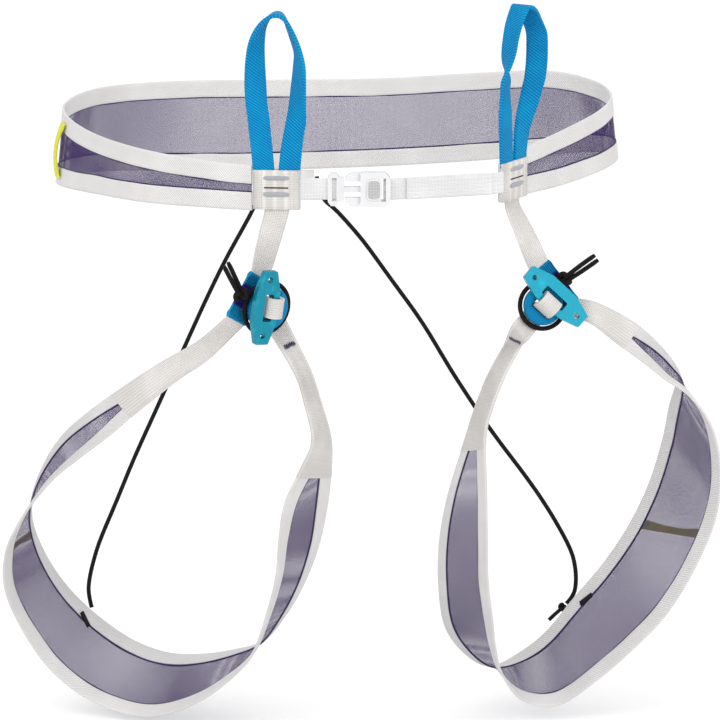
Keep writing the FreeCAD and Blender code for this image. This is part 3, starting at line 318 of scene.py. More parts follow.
def blend_colours(tree, share, first, second):
    """Colour between two by a share socket; each is a colour or a socket."""
    node = tree.nodes.new("ShaderNodeMix")
    node.data_type = "RGBA"
    tree.links.new(share, node.inputs["Factor"])
    for name, value in (("A", first), ("B", second)):
        socket = next(s for s in node.inputs if s.name == name and s.type == "RGBA")
        if isinstance(value, tuple):
            socket.default_value = (*value, 1.0)
        else:
            tree.links.new(value, socket)
    return next(s for s in node.outputs if s.type == "RGBA")


def step_up(tree, value, low, high):
    """Smooth step of a value from 0 at low to 1 at high."""
    node = tree.nodes.new("ShaderNodeMapRange")
    node.interpolation_type = "SMOOTHSTEP"
    tree.links.new(value, node.inputs["Value"])
    node.inputs["From Min"].default_value = low
    node.inputs["From Max"].default_value = high
    return node.outputs["Result"]


def cloud(tree, scale, detail=3.0):
    """Soft noise over the object's own space, about 0 to 1."""
    place = tree.nodes.new("ShaderNodeTexCoord")
    node = tree.nodes.new("ShaderNodeTexNoise")
    node.inputs["Scale"].default_value = scale
    node.inputs["Detail"].default_value = detail
    tree.links.new(place.outputs["Object"], node.inputs["Vector"])
    return node.outputs["Fac"]


def lay(tree):
    """Distances across and along a piece, in millimetres, from its map."""
    place = tree.nodes.new("ShaderNodeTexCoord")
    parts = tree.nodes.new("ShaderNodeSeparateXYZ")
    tree.links.new(place.outputs["UV"], parts.inputs[0])
    across = calc(tree, "MULTIPLY", parts.outputs["X"], 1000.0)
    along = calc(tree, "MULTIPLY", parts.outputs["Y"], 1000.0)
    return across, along


def bump(tree, height, distance, strength=1.0):
    """Bump from a height of 0 to 1, this many metres tall."""
    node = tree.nodes.new("ShaderNodeBump")
    node.inputs["Strength"].default_value = strength
    node.inputs["Distance"].default_value = distance
    tree.links.new(height, node.inputs["Height"])
    return node.outputs["Normal"]


def start_material(name):
    """A new material with a Principled shader, and its node tree."""
    material = bpy.data.materials.new(name)
    material.use_nodes = True
    return material, material.node_tree


def link_shader(tree, **sockets):
    """Link values to the Principled shader's sockets; an underscore in a name is a space."""
    for name, value in sockets.items():
        tree.links.new(value, tree.nodes["Principled BSDF"].inputs[name.replace("_", " ")])


def set_shader(tree, roughness, metallic=0.0, sheen=0.0, gloss=0.5):
    """Even numbers on the Principled shader's own sockets."""
    shader = tree.nodes["Principled BSDF"]
    shader.inputs["Roughness"].default_value = roughness
    shader.inputs["Metallic"].default_value = metallic
    shader.inputs["Sheen Weight"].default_value = sheen
    shader.inputs["Specular IOR Level"].default_value = gloss
    shader.inputs["Sheen Roughness"].default_value = 0.5


def scatter_light(tree, share, radius, scale):
    """Light passes some way into the surface."""
    shader = tree.nodes["Principled BSDF"]
    shader.inputs["Subsurface Weight"].default_value = share
    shader.inputs["Subsurface Radius"].default_value = radius
    shader.inputs["Subsurface Scale"].default_value = scale


# Fibre surfaces reflect much less than a smooth plastic does; the mesh's holes are this far apart, in mm.
FABRIC_GLOSS = 0.12
MESH_PITCH = 0.95


def woven(name, valley, ridge, pitch, slant, crossed, depth, roughness=0.75, sheen=0.2, core=None):
    """Twill or cross weave from slanting ribs, with fine yarns, soft soiling and bump.

    core is a colour of painted shade for the middle of the piece and half the width that it covers, in mm."""
    material, tree = start_material(name)
    set_shader(tree, roughness, sheen=sheen, gloss=FABRIC_GLOSS)
    across, along = lay(tree)
    lean = calc(tree, "MULTIPLY", across, slant)
    rib = wave(tree, calc(tree, "ADD", along, lean), pitch)
    if crossed:
        other = wave(tree, calc(tree, "SUBTRACT", along, lean), pitch)
        rib = calc(tree, "MULTIPLY", rib, other)
    yarn = wave(tree, across, 0.55)
    height = calc(tree, "MULTIPLY_ADD", rib, 0.4, 0.5)
    height = calc(tree, "MULTIPLY_ADD", yarn, 0.08, height)
    patch = step_up(tree, cloud(tree, 60.0), 0.35, 0.75)
    tint = calc(tree, "MULTIPLY_ADD", patch, 0.25, calc(tree, "MULTIPLY", height, 0.75))
    colour = blend_colours(tree, step_up(tree, tint, 0.15, 0.85), valley, ridge)
    # Painted shade: the middle of the piece takes the core colour, standing in for the shade inside the
    # sleeve's rolled-over middle.
    if core is not None:
        inside = step_up(tree, calc(tree, "ABSOLUTE", across), core[1] - 1.0, core[1] + 1.0)
        colour = blend_colours(tree, inside, core[0], colour)
    rough = calc(tree, "MULTIPLY_ADD", patch, 0.1, roughness - 0.05)
    link_shader(tree, Base_Color=colour, Roughness=rough, Normal=bump(tree, height, depth))
    return material


def crossed_waves(tree, pitch):
    """Product of two waves on both diagonals of a piece, and the first diagonal itself."""
    across, along = lay(tree)
    slant = calc(tree, "ADD", across, along)
    first = wave(tree, slant, pitch)
    second = wave(tree, calc(tree, "SUBTRACT", across, along), pitch)
    return calc(tree, "MULTIPLY", first, second), slant


def netting(name, thread, pale):
    """See-through mesh: fine staggered holes between slanting knitted yarns."""
    material, tree = start_material(name)
    set_shader(tree, 0.7, gloss=FABRIC_GLOSS)
    lattice, slant = crossed_waves(tree, MESH_PITCH)
    solid = calc(tree, "SUBTRACT", 1.0, step_up(tree, lattice, -0.26, 0.06))
    uneven = calc(tree, "MULTIPLY_ADD", cloud(tree, 22.0, 2.0), 0.10, -0.05)
    alpha = calc(tree, "ADD", calc(tree, "MULTIPLY_ADD", solid, 0.86, 0.05), uneven)
    yarn = step_up(tree, wave(tree, slant, 0.5), -1.0, 1.0)
    colour = blend_colours(tree, yarn, thread, pale)
    link_shader(tree, Alpha=alpha, Base_Color=colour, Normal=bump(tree, solid, 0.0001, 0.4))
    return material


def braid(name, dark, light):
    """Tight round braid of two sets of crossing strands."""
    material, tree = start_material(name)
    set_shader(tree, 0.62, gloss=FABRIC_GLOSS)
    height = calc(tree, "MULTIPLY_ADD", crossed_waves(tree, 1.3)[0], -0.5, 0.5)
    link_shader(tree, Base_Color=blend_colours(tree, height, dark, light),
                Normal=bump(tree, height, 0.00025))
    return material


def anodised(name, deep, bright):
    """Bead-blasted, dyed aluminium with a fine grain and faint handling marks."""
    material, tree = start_material(name)
    set_shader(tree, 0.38, metallic=0.55)
    marks = step_up(tree, cloud(tree, 180.0, 6.0), 0.5, 0.72)
    link_shader(tree, Base_Color=blend_colours(tree, marks, deep, bright),
                Roughness=calc(tree, "MULTIPLY_ADD", marks, 0.14, 0.3),
                Normal=bump(tree, cloud(tree, 2600.0, 2.0), 0.00004))
    return material


def moulded(name, colour, shade):
    """Milky moulded plastic with flow marks and a fine spark-eroded skin."""
    material, tree = start_material(name)
    set_shader(tree, 0.4)
    scatter_light(tree, 0.25, (0.004, 0.004, 0.004), 0.5)
    flow = step_up(tree, cloud(tree, 90.0, 4.0), 0.4, 0.7)
    link_shader(tree, Base_Color=blend_colours(tree, flow, colour, shade),
                Roughness=calc(tree, "MULTIPLY_ADD", flow, 0.12, 0.34),
                Normal=bump(tree, cloud(tree, 1800.0, 2.0), 0.00003))
    return material


def stitched(name, dark, light):
    """Satin stitching: shiny filaments side by side."""
    material, tree = start_material(name)
    set_shader(tree, 0.42, sheen=0.3)
    strand = calc(tree, "MULTIPLY_ADD", wave(tree, lay(tree)[1], 0.5), 0.5, 0.5)
    link_shader(tree, Base_Color=blend_colours(tree, strand, dark, light),
                Normal=bump(tree, strand, 0.0002))
    return material


# ---------------------------------------------------------------- meshes from rings

def build(name, rings, material, across, along, form="tube"):
    """Mesh object skinned over rings of points, mapped in metres across and along.

    A tube is capped at both ends, a sheet is open all round, and a hoop's last ring is its first."""
    count = len(rings[0])
    spans = count - 1 if form == "sheet" else count
    bm = bmesh.new()
    layer = bm.loops.layers.uv.new("lay")
    verts = [[bm.verts.new(point) for point in ring] for ring in rings[:-1]]
    verts.append(verts[0] if form == "hoop" else [bm.verts.new(point) for point in rings[-1]])
    for i in range(len(rings) - 1):
        for j in range(spans):
            k = (j + 1) % count
            face = bm.faces.new((verts[i][j], verts[i][k], verts[i + 1][k], verts[i + 1][j]))
            turn = across[j + 1] if j + 1 < len(across) else across[k]
            spots = ((across[j], along[i]), (turn, along[i]), (turn, along[i + 1]), (across[j], along[i + 1]))
            for loop, spot in zip(face.loops, spots):
                loop[layer].uv = spot
    if form == "tube":
        for i in (0, len(rings) - 1):
            cap = bm.faces.new(verts[i])
            for j, loop in enumerate(cap.loops):
                loop[layer].uv = (across[j], along[i])
    if form != "sheet":
        bmesh.ops.recalc_face_normals(bm, faces=bm.faces)
    mesh = bpy.data.meshes.new(name)
    bm.to_mesh(mesh)
    bm.free()
    mesh.materials.append(material)
    mesh.shade_smooth()
    if form != "hoop":
        mesh.set_sharp_from_angle(angle=math.radians(55))
    return show(name, mesh)


def stand_in(piece, node, rides=True):
    """The piece takes a CAD node's place, which is hidden; it rides on the node's body when rides is set."""
    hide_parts(node)
    if rides:
        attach(piece, frame["nodes"][node]["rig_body"])


def smooth(points, steps):
    """Catmull-Rom points through a route, steps per stretch."""
    out = []
    last = len(points) - 1
    for i in range(last):
        p1, p2 = points[i], points[i + 1]
        p0 = points[i - 1] if i > 0 else p1 * 2 - p2
        p3 = points[i + 2] if i + 2 <= last else p2 * 2 - p1
        for k in range(steps):
            t = k / steps
            out.append((p1 * 2 + (p2 - p0) * t + (p0 * 2 - p1 * 5 + p2 * 4 - p3) * t ** 2
                        + (p1 * 3 - p0 - p2 * 3 + p3) * t ** 3) * 0.5)
    out.append(points[last])
    return out


def sections(rows, steps):
    """Sections of a band: edge point, width direction, outward normal, width, distance along."""
    upper = smooth([Vector(row[:3]) * MM for row in rows], steps)
    lower = smooth([Vector(row[3:]) * MM for row in rows], steps)
    middle = [(a + b) / 2 for a, b in zip(upper, lower)]
    centre = sum(middle, Vector((0, 0, 0))) / len(middle)
    frames = []
    distance = 0.0
    for i, (a, b) in enumerate(zip(upper, lower)):
        across = (b - a).normalized()
        along = middle[min(i + 1, len(middle) - 1)] - middle[max(i - 1, 0)]
        if i > 0:
            distance += (middle[i] - middle[i - 1]).length
        frames.append([a, across, across.cross(along).normalized(), (b - a).length, distance])
    outward = sum(f[2].dot(m - centre) for f, m in zip(frames, middle))
    if outward < 0:
        for piece in frames:
            piece[2] = -piece[2]
    return frames


def rounded_strip(start, end, low, high):
    """Closed outline of a flat strip with soft edges: distances across and out, in metres."""
    nip = min(0.5 * MM, (end - start) / 8)
    quarter = (high - low) / 4
    middle = (start + end) / 2
    top = [(start, (low + high) / 2), (start + nip * 0.3, high - quarter), (start + nip, high),
           (start + nip * 3, high), (middle, high), (end - nip * 3, high), (end - nip, high),
           (end - nip * 0.3, high - quarter), (end, (low + high) / 2)]
    under = [(u, low + high - n) for u, n in reversed(top[1:-1])]
    return top + under


def edge_start(width, distance):
    """A band's first edge."""
    return 0.0


def edge_end(width, distance):
    """A band's second edge."""
    return width


def ribbon(name, frames, material, thick, start=edge_start, end=edge_end):
    """Solid strip of a band between two functions of its width and distance, with soft edges."""
    low, high = -thick / 2 * MM, thick / 2 * MM
    rings = []
    for point, across, normal, width, distance in frames:
        outline = rounded_strip(start(width, distance), end(width, distance), low, high)
        rings.append([point + across * u + normal * n for u, n in outline])
    spots = [u for u, _ in rounded_strip(start(frames[0][3], 0), end(frames[0][3], 0), low, high)]
    return build(name, rings, material, spots, [f[4] for f in frames])


def veil(name, frames, start, end, level, material):
    """One thin layer of a band, open at its edges."""
    shares = [i / 8 for i in range(9)]
    rings = []
    for point, across, normal, width, distance in frames:
        u0, u1 = start(width, distance), end(width, distance)
        rings.append([point + across * (u0 + (u1 - u0) * s) + normal * level for s in shares])
    reach = max(f[3] for f in frames) - 2 * TAPE_WIDTH * MM
    return build(name, rings, material, [s * reach for s in shares], [f[4] for f in frames],
                 form="sheet")


def along_line(points):
    """Distance of each point along a line."""
    out = [0.0]
    for a, b in zip(points, points[1:]):
        out.append(out[-1] + (b - a).length)
    return out


def tube(name, line, radius, material, sides=14):
    """Round cord along a line of points, without twist; radius is one number or one each."""
    radii = radius if isinstance(radius, list) else [radius] * len(line)
    rings = []
    normal = None
    for i, point in enumerate(line):
        tangent = (line[min(i + 1, len(line) - 1)] - line[max(i - 1, 0)]).normalized()
        if normal is None:
            helper = Vector((0, 0, 1)) if abs(tangent.z) < 0.9 else Vector((1, 0, 0))
            normal = tangent.cross(helper).normalized()
        normal = (normal - tangent * normal.dot(tangent)).normalized()
        side = tangent.cross(normal)
        ring = []
        for k in range(sides):
            angle = 2 * math.pi * k / sides
            ring.append(point + (normal * math.cos(angle) + side * math.sin(angle)) * radii[i])
        rings.append(ring)
    girth = 2 * math.pi * max(radii)
    across = [girth * k / sides for k in range(sides + 1)]
    return build(name, rings, material, across, along_line(line))


def nurbs_line(points):
    """Points along the smooth line of a cord's route."""
    curve = bpy.data.curves.new("route", "CURVE")
    curve.dimensions = "3D"
    curve.resolution_u = 12
    spline = curve.splines.new("NURBS")
    spline.points.add(len(points) - 1)
    for spot, point in zip(spline.points, points):
        spot.co = (*point, 1.0)
    spline.order_u = 3
    spline.use_endpoint_u = True
    holder = show("route", curve)
    bpy.context.view_layer.update()
    mesh = bpy.data.meshes.new_from_object(holder)
    line = [v.co.copy() for v in mesh.vertices]
    bpy.data.objects.remove(holder)
    return line


def join(name, pieces):
    """One object from several meshes."""
    target = pieces[0]
    with bpy.context.temp_override(active_object=target, selected_editable_objects=pieces):
        bpy.ops.object.join()
    target.name = name
    return target


# ---------------------------------------------------------------- materials

TAPE = woven("edge_tape", (0.68, 0.665, 0.655), (0.84, 0.83, 0.82), 1.35, 0.9, False, 0.00022)
# Near-black strip at each tape's inner edge: partly the doubled mesh there, partly painted shadow of the
# tape's edge.
BINDING_AND_SHADE = woven("tape_binding_and_shade", (0.015, 0.012, 0.05), (0.06, 0.05, 0.14), 1.6, 0.2, False, 0.0002)
MESH = netting("mesh", (0.038, 0.013, 0.110), (0.078, 0.034, 0.185))
WEBBING = woven("white_webbing", (0.60, 0.57, 0.54), (0.84, 0.815, 0.79), 1.7, 0.75, True, 0.0003)
STRAP = woven("strap_webbing", (0.68, 0.68, 0.68), (0.88, 0.88, 0.88), 1.5, 1.0, True, 0.00025)
BLUE = woven("blue_webbing", (0.0, 0.16, 0.42), (0.0, 0.34, 0.64), 1.5, 0.7, False, 0.0003, 0.6, 0.02)
# The sleeve's dark navy middle is painted shade, not the webbing's own colour.
SLEEVE = woven("sleeve_webbing", (0.0, 0.11, 0.32), (0.0, 0.31, 0.58), 1.0, 0.0, False, 0.0004, 0.6, 0.02,
               core=((0.015, 0.004, 0.19), 6.0))
EYE = woven("eye_webbing", (0.0, 0.18, 0.42), (0.0, 0.33, 0.60), 1.3, 3.5, False, 0.00012, 0.6, 0.02)
YELLOW = woven("yellow_webbing", (0.62, 0.62, 0.02), (0.85, 0.85, 0.06), 1.2, 0.8, False, 0.0002)
scatter_light(YELLOW.node_tree, 0.9, (1.0, 1.0, 0.4), 0.004)
BLACK = woven("black_binding", (0.006, 0.005, 0.008), (0.02, 0.018, 0.025), 1.0, 0.5, True, 0.0002,
              sheen=0.02)
SLIT = woven("slit", (0.02, 0.012, 0.008), (0.07, 0.04, 0.025), 0.8, 0.3, False, 0.0001, sheen=0.0)
# A darker copy of the strap's webbing: painted shade of the socket's recessed window, where the strap runs
# through.
SHADED_WINDOW = woven("window_webbing", (0.42, 0.42, 0.43), (0.74, 0.74, 0.74), 1.6, 1.0, True, 0.0003)
ELASTIC = braid("elastic", (0.004, 0.003, 0.003), (0.016, 0.013, 0.013))
CORD = braid("riser_cord", (0.003, 0.003, 0.003), (0.016, 0.016, 0.016))
PLATE = anodised("plate", (0.0, 0.24, 0.34), (0.005, 0.36, 0.47))
PLASTIC = moulded("buckle", (0.76, 0.76, 0.77), (0.70, 0.70, 0.71))
GREY_THREAD = stitched("grey_thread", (0.30, 0.31, 0.34), (0.60, 0.61, 0.65))
NAVY_THREAD = stitched("navy_thread", (0.010, 0.008, 0.05), (0.04, 0.04, 0.16))


# ---------------------------------------------------------------- bands

def edge_width(width):
    """Width of each edge tape where the band is this wide: narrow ends are nearly all tape."""
    return min(TAPE_WIDTH * MM, (width - 1.0 * MM) / 2)


def ripple(distance, seed):
    """Small waver of a sewn edge."""
    return 0.35 * MM * noise.noise(Vector((distance * 55.0, seed, 0.0)))


def banded(frames, mesh_node, first_node, second_node, seam_and_shade):
    """Three thin mesh layers between two edge tapes."""
    tuck = 0.6 * MM
    mesh_start = lambda w, d: edge_width(w) - tuck
    mesh_end = lambda w, d: w - edge_width(w) + tuck
    tapes = [
        ribbon(first_node + "_cloth", frames, TAPE, TAPE_THICK,
               end=lambda w, d: edge_width(w) + ripple(d, 1.0)),
        ribbon(second_node + "_cloth", frames, TAPE, TAPE_THICK,
               start=lambda w, d: w - edge_width(w) + ripple(d, 7.0)),
    ]
    for tape, node in zip(tapes, (first_node, second_node)):
        stand_in(tape, node)
    # Dark strips along the tapes' inner edges: partly doubled mesh, partly painted shadow cast by each tape's
    # edge.
    seams_and_shade = [
        ribbon(mesh_node + "_seam_shade_0", frames, BINDING_AND_SHADE, SEAM_AND_SHADE_THICK, mesh_start,
               lambda w, d: edge_width(w) + seam_and_shade * MM + ripple(d, 2.0)),
        ribbon(mesh_node + "_seam_shade_1", frames, BINDING_AND_SHADE, SEAM_AND_SHADE_THICK,
               lambda w, d: w - edge_width(w) - seam_and_shade * MM + ripple(d, 5.0), mesh_end),
    ]
    layers = [veil("%s_layer_%d" % (mesh_node, number), frames, mesh_start, mesh_end, level * MM, MESH)
              for number, level in enumerate(MESH_LAYERS)]
    for piece in layers + seams_and_shade:
        stand_in(piece, mesh_node)


def between(frames, place):
    """Section of a band at a place between two of its frames."""
    i = min(int(place), len(frames) - 2)
    t = place - i
    (p0, a0, n0, w0, _), (p1, a1, n1, w1, _) = frames[i], frames[i + 1]
    return p0.lerp(p1, t), a0.lerp(a1, t).normalized(), n0.lerp(n1, t).normalized(), w0 + (w1 - w0) * t


def keeper(frames, first, last, size, node):
    """Narrow yellow webbing over a band, from tape to tape, bowed off the mesh, wider at its sewn ends."""
    lift = (TAPE_THICK / 2 + KEEPER_LIFT) * MM
    steps = 20
    thick = KEEPER_THICK / 2 * MM
    middles, normals = [], []
    for i in range(steps + 1):
        share = i / steps
        point, across, normal, width = between(frames, first + (last - first) * share)
        sewn = edge_width(width) * 0.45
        bow = KEEPER_BOW * MM * math.sin(math.pi * share)
        middles.append(point + across * (sewn + (width - 2 * sewn) * share) + normal * (lift + bow))
        normals.append(normal)
    rings = []
    for i, (middle, normal) in enumerate(zip(middles, normals)):
        run = middles[min(i + 1, steps)] - middles[max(i - 1, 0)]
        side = run.cross(normal).normalized()
        rise = side.cross(run).normalized()
        ends = min(1.0, 4.0 * abs(i / steps - 0.5) ** 2)
        half = size / 2 * (1 + 0.6 * ends) * MM
        rings.append([middle + side * u + rise * n for u, n in rounded_strip(-half, half, -thick, thick)])
    half = size / 2 * MM
    spots = [u for u, _ in rounded_strip(-half, half, 0, 0)]
    piece = build(node + "_cloth", rings, YELLOW, spots, along_line(middles))
    stand_in(piece, node)


def belt_rows():
    """Belt edge rows whose two ends meet the sides of their wraps."""
    rows = [list(row) for row in BELT]
    reach = WRAP_WIDTH / 2 + WRAP_GAP
    for side, along, end, neighbour in (("left", -reach, 0, 1), ("right", reach, -1, -2)):
        centre, turn = WRAPS[side]
        meet = centre + Matrix.Rotation(math.radians(turn), 3, "Z") @ Vector((along, 0, 0))
        step = (meet.x - rows[end][0], meet.y - rows[end][1])
        for row, share in ((rows[end], 1.0), (rows[neighbour], 0.5)):
            for place in (0, 3):
                row[place] += step[0] * share
                row[place + 1] += step[1] * share
    return rows


def make_belt():
    """Waist belt band and its gear keeper."""
    frames = sections(belt_rows(), STEPS)
    banded(frames, "waist_mesh", "waist_tape_top", "waist_tape_bottom", 0.4)
    keeper(frames, GEAR_KEEPER_ROW * STEPS, GEAR_KEEPER_ROW * STEPS, 6.0, "gear_keeper_left")


# ---------------------------------------------------------------- wraps, loops and risers

def wrap_matrix(side):
    """A wrap's own frame: x along the belt, y towards the wearer."""
    centre, turn = WRAPS[side]
    return Matrix.Translation(centre * MM) @ Matrix.Rotation(math.radians(turn), 4, "Z")


def make_wrap(side):
    """Folded webbing wrap: a flattened sleeve, hollow at top and bottom, with two bar-tacks."""
    place = wrap_matrix(side)
    half, deep = WRAP_WIDTH / 2, WRAP_THICK / 2
    levels = [0, 0.4, 1.2, 3.8, 6.2, 8.4, 9.2, 12.2, 15, 18, 19.5, WRAP_HEIGHT]
    hollows = [(21, 2.5), (20, 0.1), (23, WRAP_HEIGHT - 0.1), (22, WRAP_HEIGHT - 2.5)]
    inside = [wrap_ring(place, half - WRAP_WALL, deep - WRAP_WALL, WRAP_TOP - drop, number)
              for number, drop in hollows]
    rings = []
    for number, drop in enumerate(levels):
        pinch = 0.25 if number in (4, 7) else 0.0
        soft = 0.3 if number in (0, len(levels) - 1) else 0.0
        rings.append(wrap_ring(place, half - soft, deep - soft - pinch, WRAP_TOP - drop, number))
    rings = inside[:2] + rings + inside[2:]
    count = len(rings[0])
    girth = 2 * (WRAP_WIDTH + WRAP_THICK) * MM
    spots = [girth * k / count for k in range(count + 1)]
    distances = along_line([ring[0] for ring in rings])
    wrap = build("tie_in_wrap_%s_cloth" % side, rings, WEBBING, spots, distances)
    stand_in(wrap, "tie_in_wrap_" + side)
    face = -WRAP_THICK / 2 + 0.05
    slit = [place @ (Vector((x, face, WRAP_TOP - SLIT_DROP)) * MM) for x in (-6.0, -2.0, 2.0, 6.0)]
    mark = tube("tie_in_wrap_%s_slit" % side, slit, 0.4 * MM, SLIT, sides=8)
    stand_in(mark, "tie_in_wrap_" + side)
    tacks = [satin_tack(side, place, drop) for drop in TACK_DROPS]
    tacks = join("wrap_tacks_%s_thread" % side, tacks)
    stand_in(tacks, "wrap_tacks_" + side)


def wrap_ring(place, half, deep, level, seed):
    """One level round a wrap: flat front and back, tightly rounded folds."""
    ring = []
    for k in range(40):
        angle = 2 * math.pi * k / 40
        x = half * soft_corner(math.cos(angle), 0.28)
        y = deep * soft_corner(math.sin(angle))
        waver = 0.12 * noise.noise(Vector((x * 0.3, y * 0.3, seed * 0.9)))
        ring.append(place @ (Vector((x, y + waver, level)) * MM))
    return ring


def satin_tack(side, place, drop):
    """Bar-tack on a wrap's face: a low pillow of parallel threads."""
    rings = []
    steps = 60
    for i in range(steps + 1):
        share = i / steps
        x = TACK_LENGTH * (share - 0.5)
        end = min(1.0, 6 * share, 6 * (1 - share))
        tall = 1.5 * (0.88 + 0.12 * math.sin(share * steps * 1.9)) * (0.7 + 0.3 * end)
        rise = 0.35 + 0.25 * end
        ring = []
        for k in range(9):
            angle = math.pi * k / 8
            ring.append((x, -WRAP_THICK / 2 + 0.3 - rise * math.sin(angle), tall * math.cos(angle)))
        rings.append([place @ (Vector((px, py, WRAP_TOP - drop + pz)) * MM) for px, py, pz in ring])
    spots = [3.0 * MM * k / 8 for k in range(9)]
    return build("tack_%s_%d" % (side, int(drop)), rings, GREY_THREAD, spots,
                 [TACK_LENGTH * MM * i / steps for i in range(steps + 1)])


def loop_rows(side):
    """Edge rows of a tie-in loop in millimetres; its feet run down into the wrap."""
    base = WRAP_TOP + HINGE_GAP
    centre, turn_out = WRAPS[side]
    spin = Matrix.Rotation(math.radians(turn_out), 3, "Z")
    route = TIE_LOOPS[side]
    feet = [(route[0][0], 0, -0.05, 0)] + route + [(route[-1][0], 0, -0.05, 180)]
    rows = []
    for along, depth, share, turn in feet:
        middle = Vector((along, depth, base + LOOP_HEIGHT * share))
        angle = math.radians(turn)
        reach = Vector((math.cos(angle), math.sin(angle), 0)) * (LOOP_WIDTH / 2)
        rows.append((*(spin @ (middle - reach) + centre), *(spin @ (middle + reach) + centre)))
    return rows


def add_tie_loop(side):
    """Blue webbing loop; its two feet run down into the wrap."""
    node = "tie_in_loop_" + side
    piece = ribbon(node + "_cloth", sections(loop_rows(side), 6), BLUE, LOOP_THICK)
    stand_in(piece, node, rides=False)
    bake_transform(piece)


# ---------------------------------------------------------------- leg buckles

LEG_BUCKLES = {
    "left": {"pivot": (-31.5, -108.5, -67.8), "along": (0.143, 0, 0.99), "face": 35.0,
             "exit": -48.0, "eye": (1.1, -2.4), "knot": 156.0, "tail": 128.0, "lean": -4.0,
             "sleeve": (-7.0, 1.0), "sleeve_turn": 65.0, "sleeve_up": 1},
    "right": {"pivot": (106.4, -104.0, -67.4), "along": (0.728, 0, -0.686), "face": -18.0,
              "exit": 2.0, "eye": (1.0, -0.5), "knot": 180.0, "tail": 168.0, "lean": -12.0,
              "sleeve": (-11.0, -1.0), "sleeve_turn": 80.0, "sleeve_up": -1},
}
TAB_WIDTH = 10.0
TAB_THICK = 2.2
TAB_BORE = 2.66
TAB_DEPTH = 9.6
EYE_FRONT = 3.0
EYE_DEPTH = 6.0
EYE_WALL = 1.5
EYE_HALF = (TAB_BORE + TAB_THICK + 0.4, TAB_WIDTH / 2 + 0.4)
ELASTIC_GAP = 0.4
ELASTIC_LEVEL = -EYE_FRONT - EYE_DEPTH + CORD_DIAMETER / 2
KNOT_REACH = 4.1
SLEEVE_LENGTH = 26.0
SLEEVE_WIDTH = 13.0
SLEEVE_THICK = 3.0
SLEEVE_LEVEL = -TAB_DEPTH - WEBBING_THICK - 0.8 - SLEEVE_THICK / 2


def leg_matrix(side):
    """The leg buckle's own frame in millimetres: x across the plate, y along it, z out of its face."""
    data = LEG_BUCKLES[side]
    along = Vector(data["along"]).normalized()
    spin = Matrix.Rotation(math.radians(data["face"]), 3, along)
    across = spin @ along.cross(Vector((0, -1, 0))).normalized()
    out = spin @ Vector((0, -1, 0))
    turn = Matrix((across, along, out)).transposed()
    return Matrix.Translation(Vector(data["pivot"])) @ turn.to_4x4()


def in_metres(side):
    """Function from the leg buckle's own millimetres to the shared frame in metres."""
    place = leg_matrix(side)
    return lambda x, y, z: (place @ Vector((x, y, z))) * MM


def eye_radius(side):
    """Outer radius of the eye, which leaves a wall round the slot for the tab."""
    across, along = LEG_BUCKLES[side]["eye"]
    return math.hypot(EYE_HALF[0] + abs(across), EYE_HALF[1] + abs(along)) + EYE_WALL


def make_tab(side):
    """White webbing tab folded round the plate's long bar."""
    spot = in_metres(side)
    radius = TAB_BORE + TAB_THICK / 2
    line = []
    for level in (-TAB_DEPTH, -7.0, -4.5, -2.0):
        line.append((radius, level, 0.0))
    for i in range(13):
        angle = math.pi * i / 12
        line.append((radius * math.cos(angle), radius * math.sin(angle), angle))
    for level in (-2.0, -4.5, -7.0, -TAB_DEPTH):
        line.append((-radius, level, math.pi))
    rings = []
    outline = rounded_strip(-TAB_WIDTH / 2, TAB_WIDTH / 2, -TAB_THICK / 2, TAB_THICK / 2)
    for x, z, angle in line:
        out = (math.cos(angle), math.sin(angle))
        rings.append([spot(x + out[0] * n, u, z + out[1] * n) for u, n in outline])
    piece = build("toggle_tab_%s_cloth" % side, rings, WEBBING, [u * MM for u, _ in outline],
                  along_line([ring[4] for ring in rings]))
    stand_in(piece, "toggle_tab_" + side)


def hoop(name, rings, material, pitch, reach):
    """Ring-shaped mesh: a closed outline carried once round, its points a pitch apart."""
    across = [k * pitch for k in range(len(rings[0]) + 1)]
    last = len(rings) - 1
    along = [reach * i / last for i in range(last + 1)]
    return build(name, rings, material, across, along, form="hoop")


def slot_reach(angle):
    """Distance from the pivot to the side of the eye's slot in one direction."""
    c, s = abs(math.cos(angle)), abs(math.sin(angle))
    return min(EYE_HALF[0] / max(c, 1e-6), EYE_HALF[1] / max(s, 1e-6))


def disc_reach(side, angle):
    """Distance from the pivot to the eye's rim in one direction."""
    cx, cy = LEG_BUCKLES[side]["eye"]
    along = cx * math.cos(angle) + cy * math.sin(angle)
    return along + math.sqrt(along ** 2 - cx ** 2 - cy ** 2 + eye_radius(side) ** 2)


def make_eye(side):
    """Thick blue folded webbing eye, domed in front, round a slot for the tab."""
    spot = in_metres(side)
    front, rear = -EYE_FRONT, -EYE_FRONT - EYE_DEPTH
    profile = [(0.0, front - 1.0), (0.08, front - 0.35), (0.3, front), (0.6, front - 0.25),
               (0.82, front - 0.9), (0.95, front - 2.0), (1.0, front - 3.3), (0.97, rear + 1.0),
               (0.88, rear), (0.1, rear), (0.0, rear + 0.5)]
    rings = []
    for i in range(97):
        angle = 2 * math.pi * i / 96
        near, far = slot_reach(angle), disc_reach(side, angle)
        ring = []
        for share, level in profile:
            reach = near + (far - near) * share
            ring.append(spot(reach * math.cos(angle), reach * math.sin(angle), level))
        rings.append(ring)
    piece = hoop("toggle_eye_%s_cloth" % side, rings, EYE, 1.6 * MM, 2 * math.pi * eye_radius(side) * MM)
    stand_in(piece, "toggle_eye_" + side)


def ring_radius(side):
    """Radius of the elastic ring's centre line, clear of the eye."""
    return eye_radius(side) + ELASTIC_GAP + CORD_DIAMETER / 2


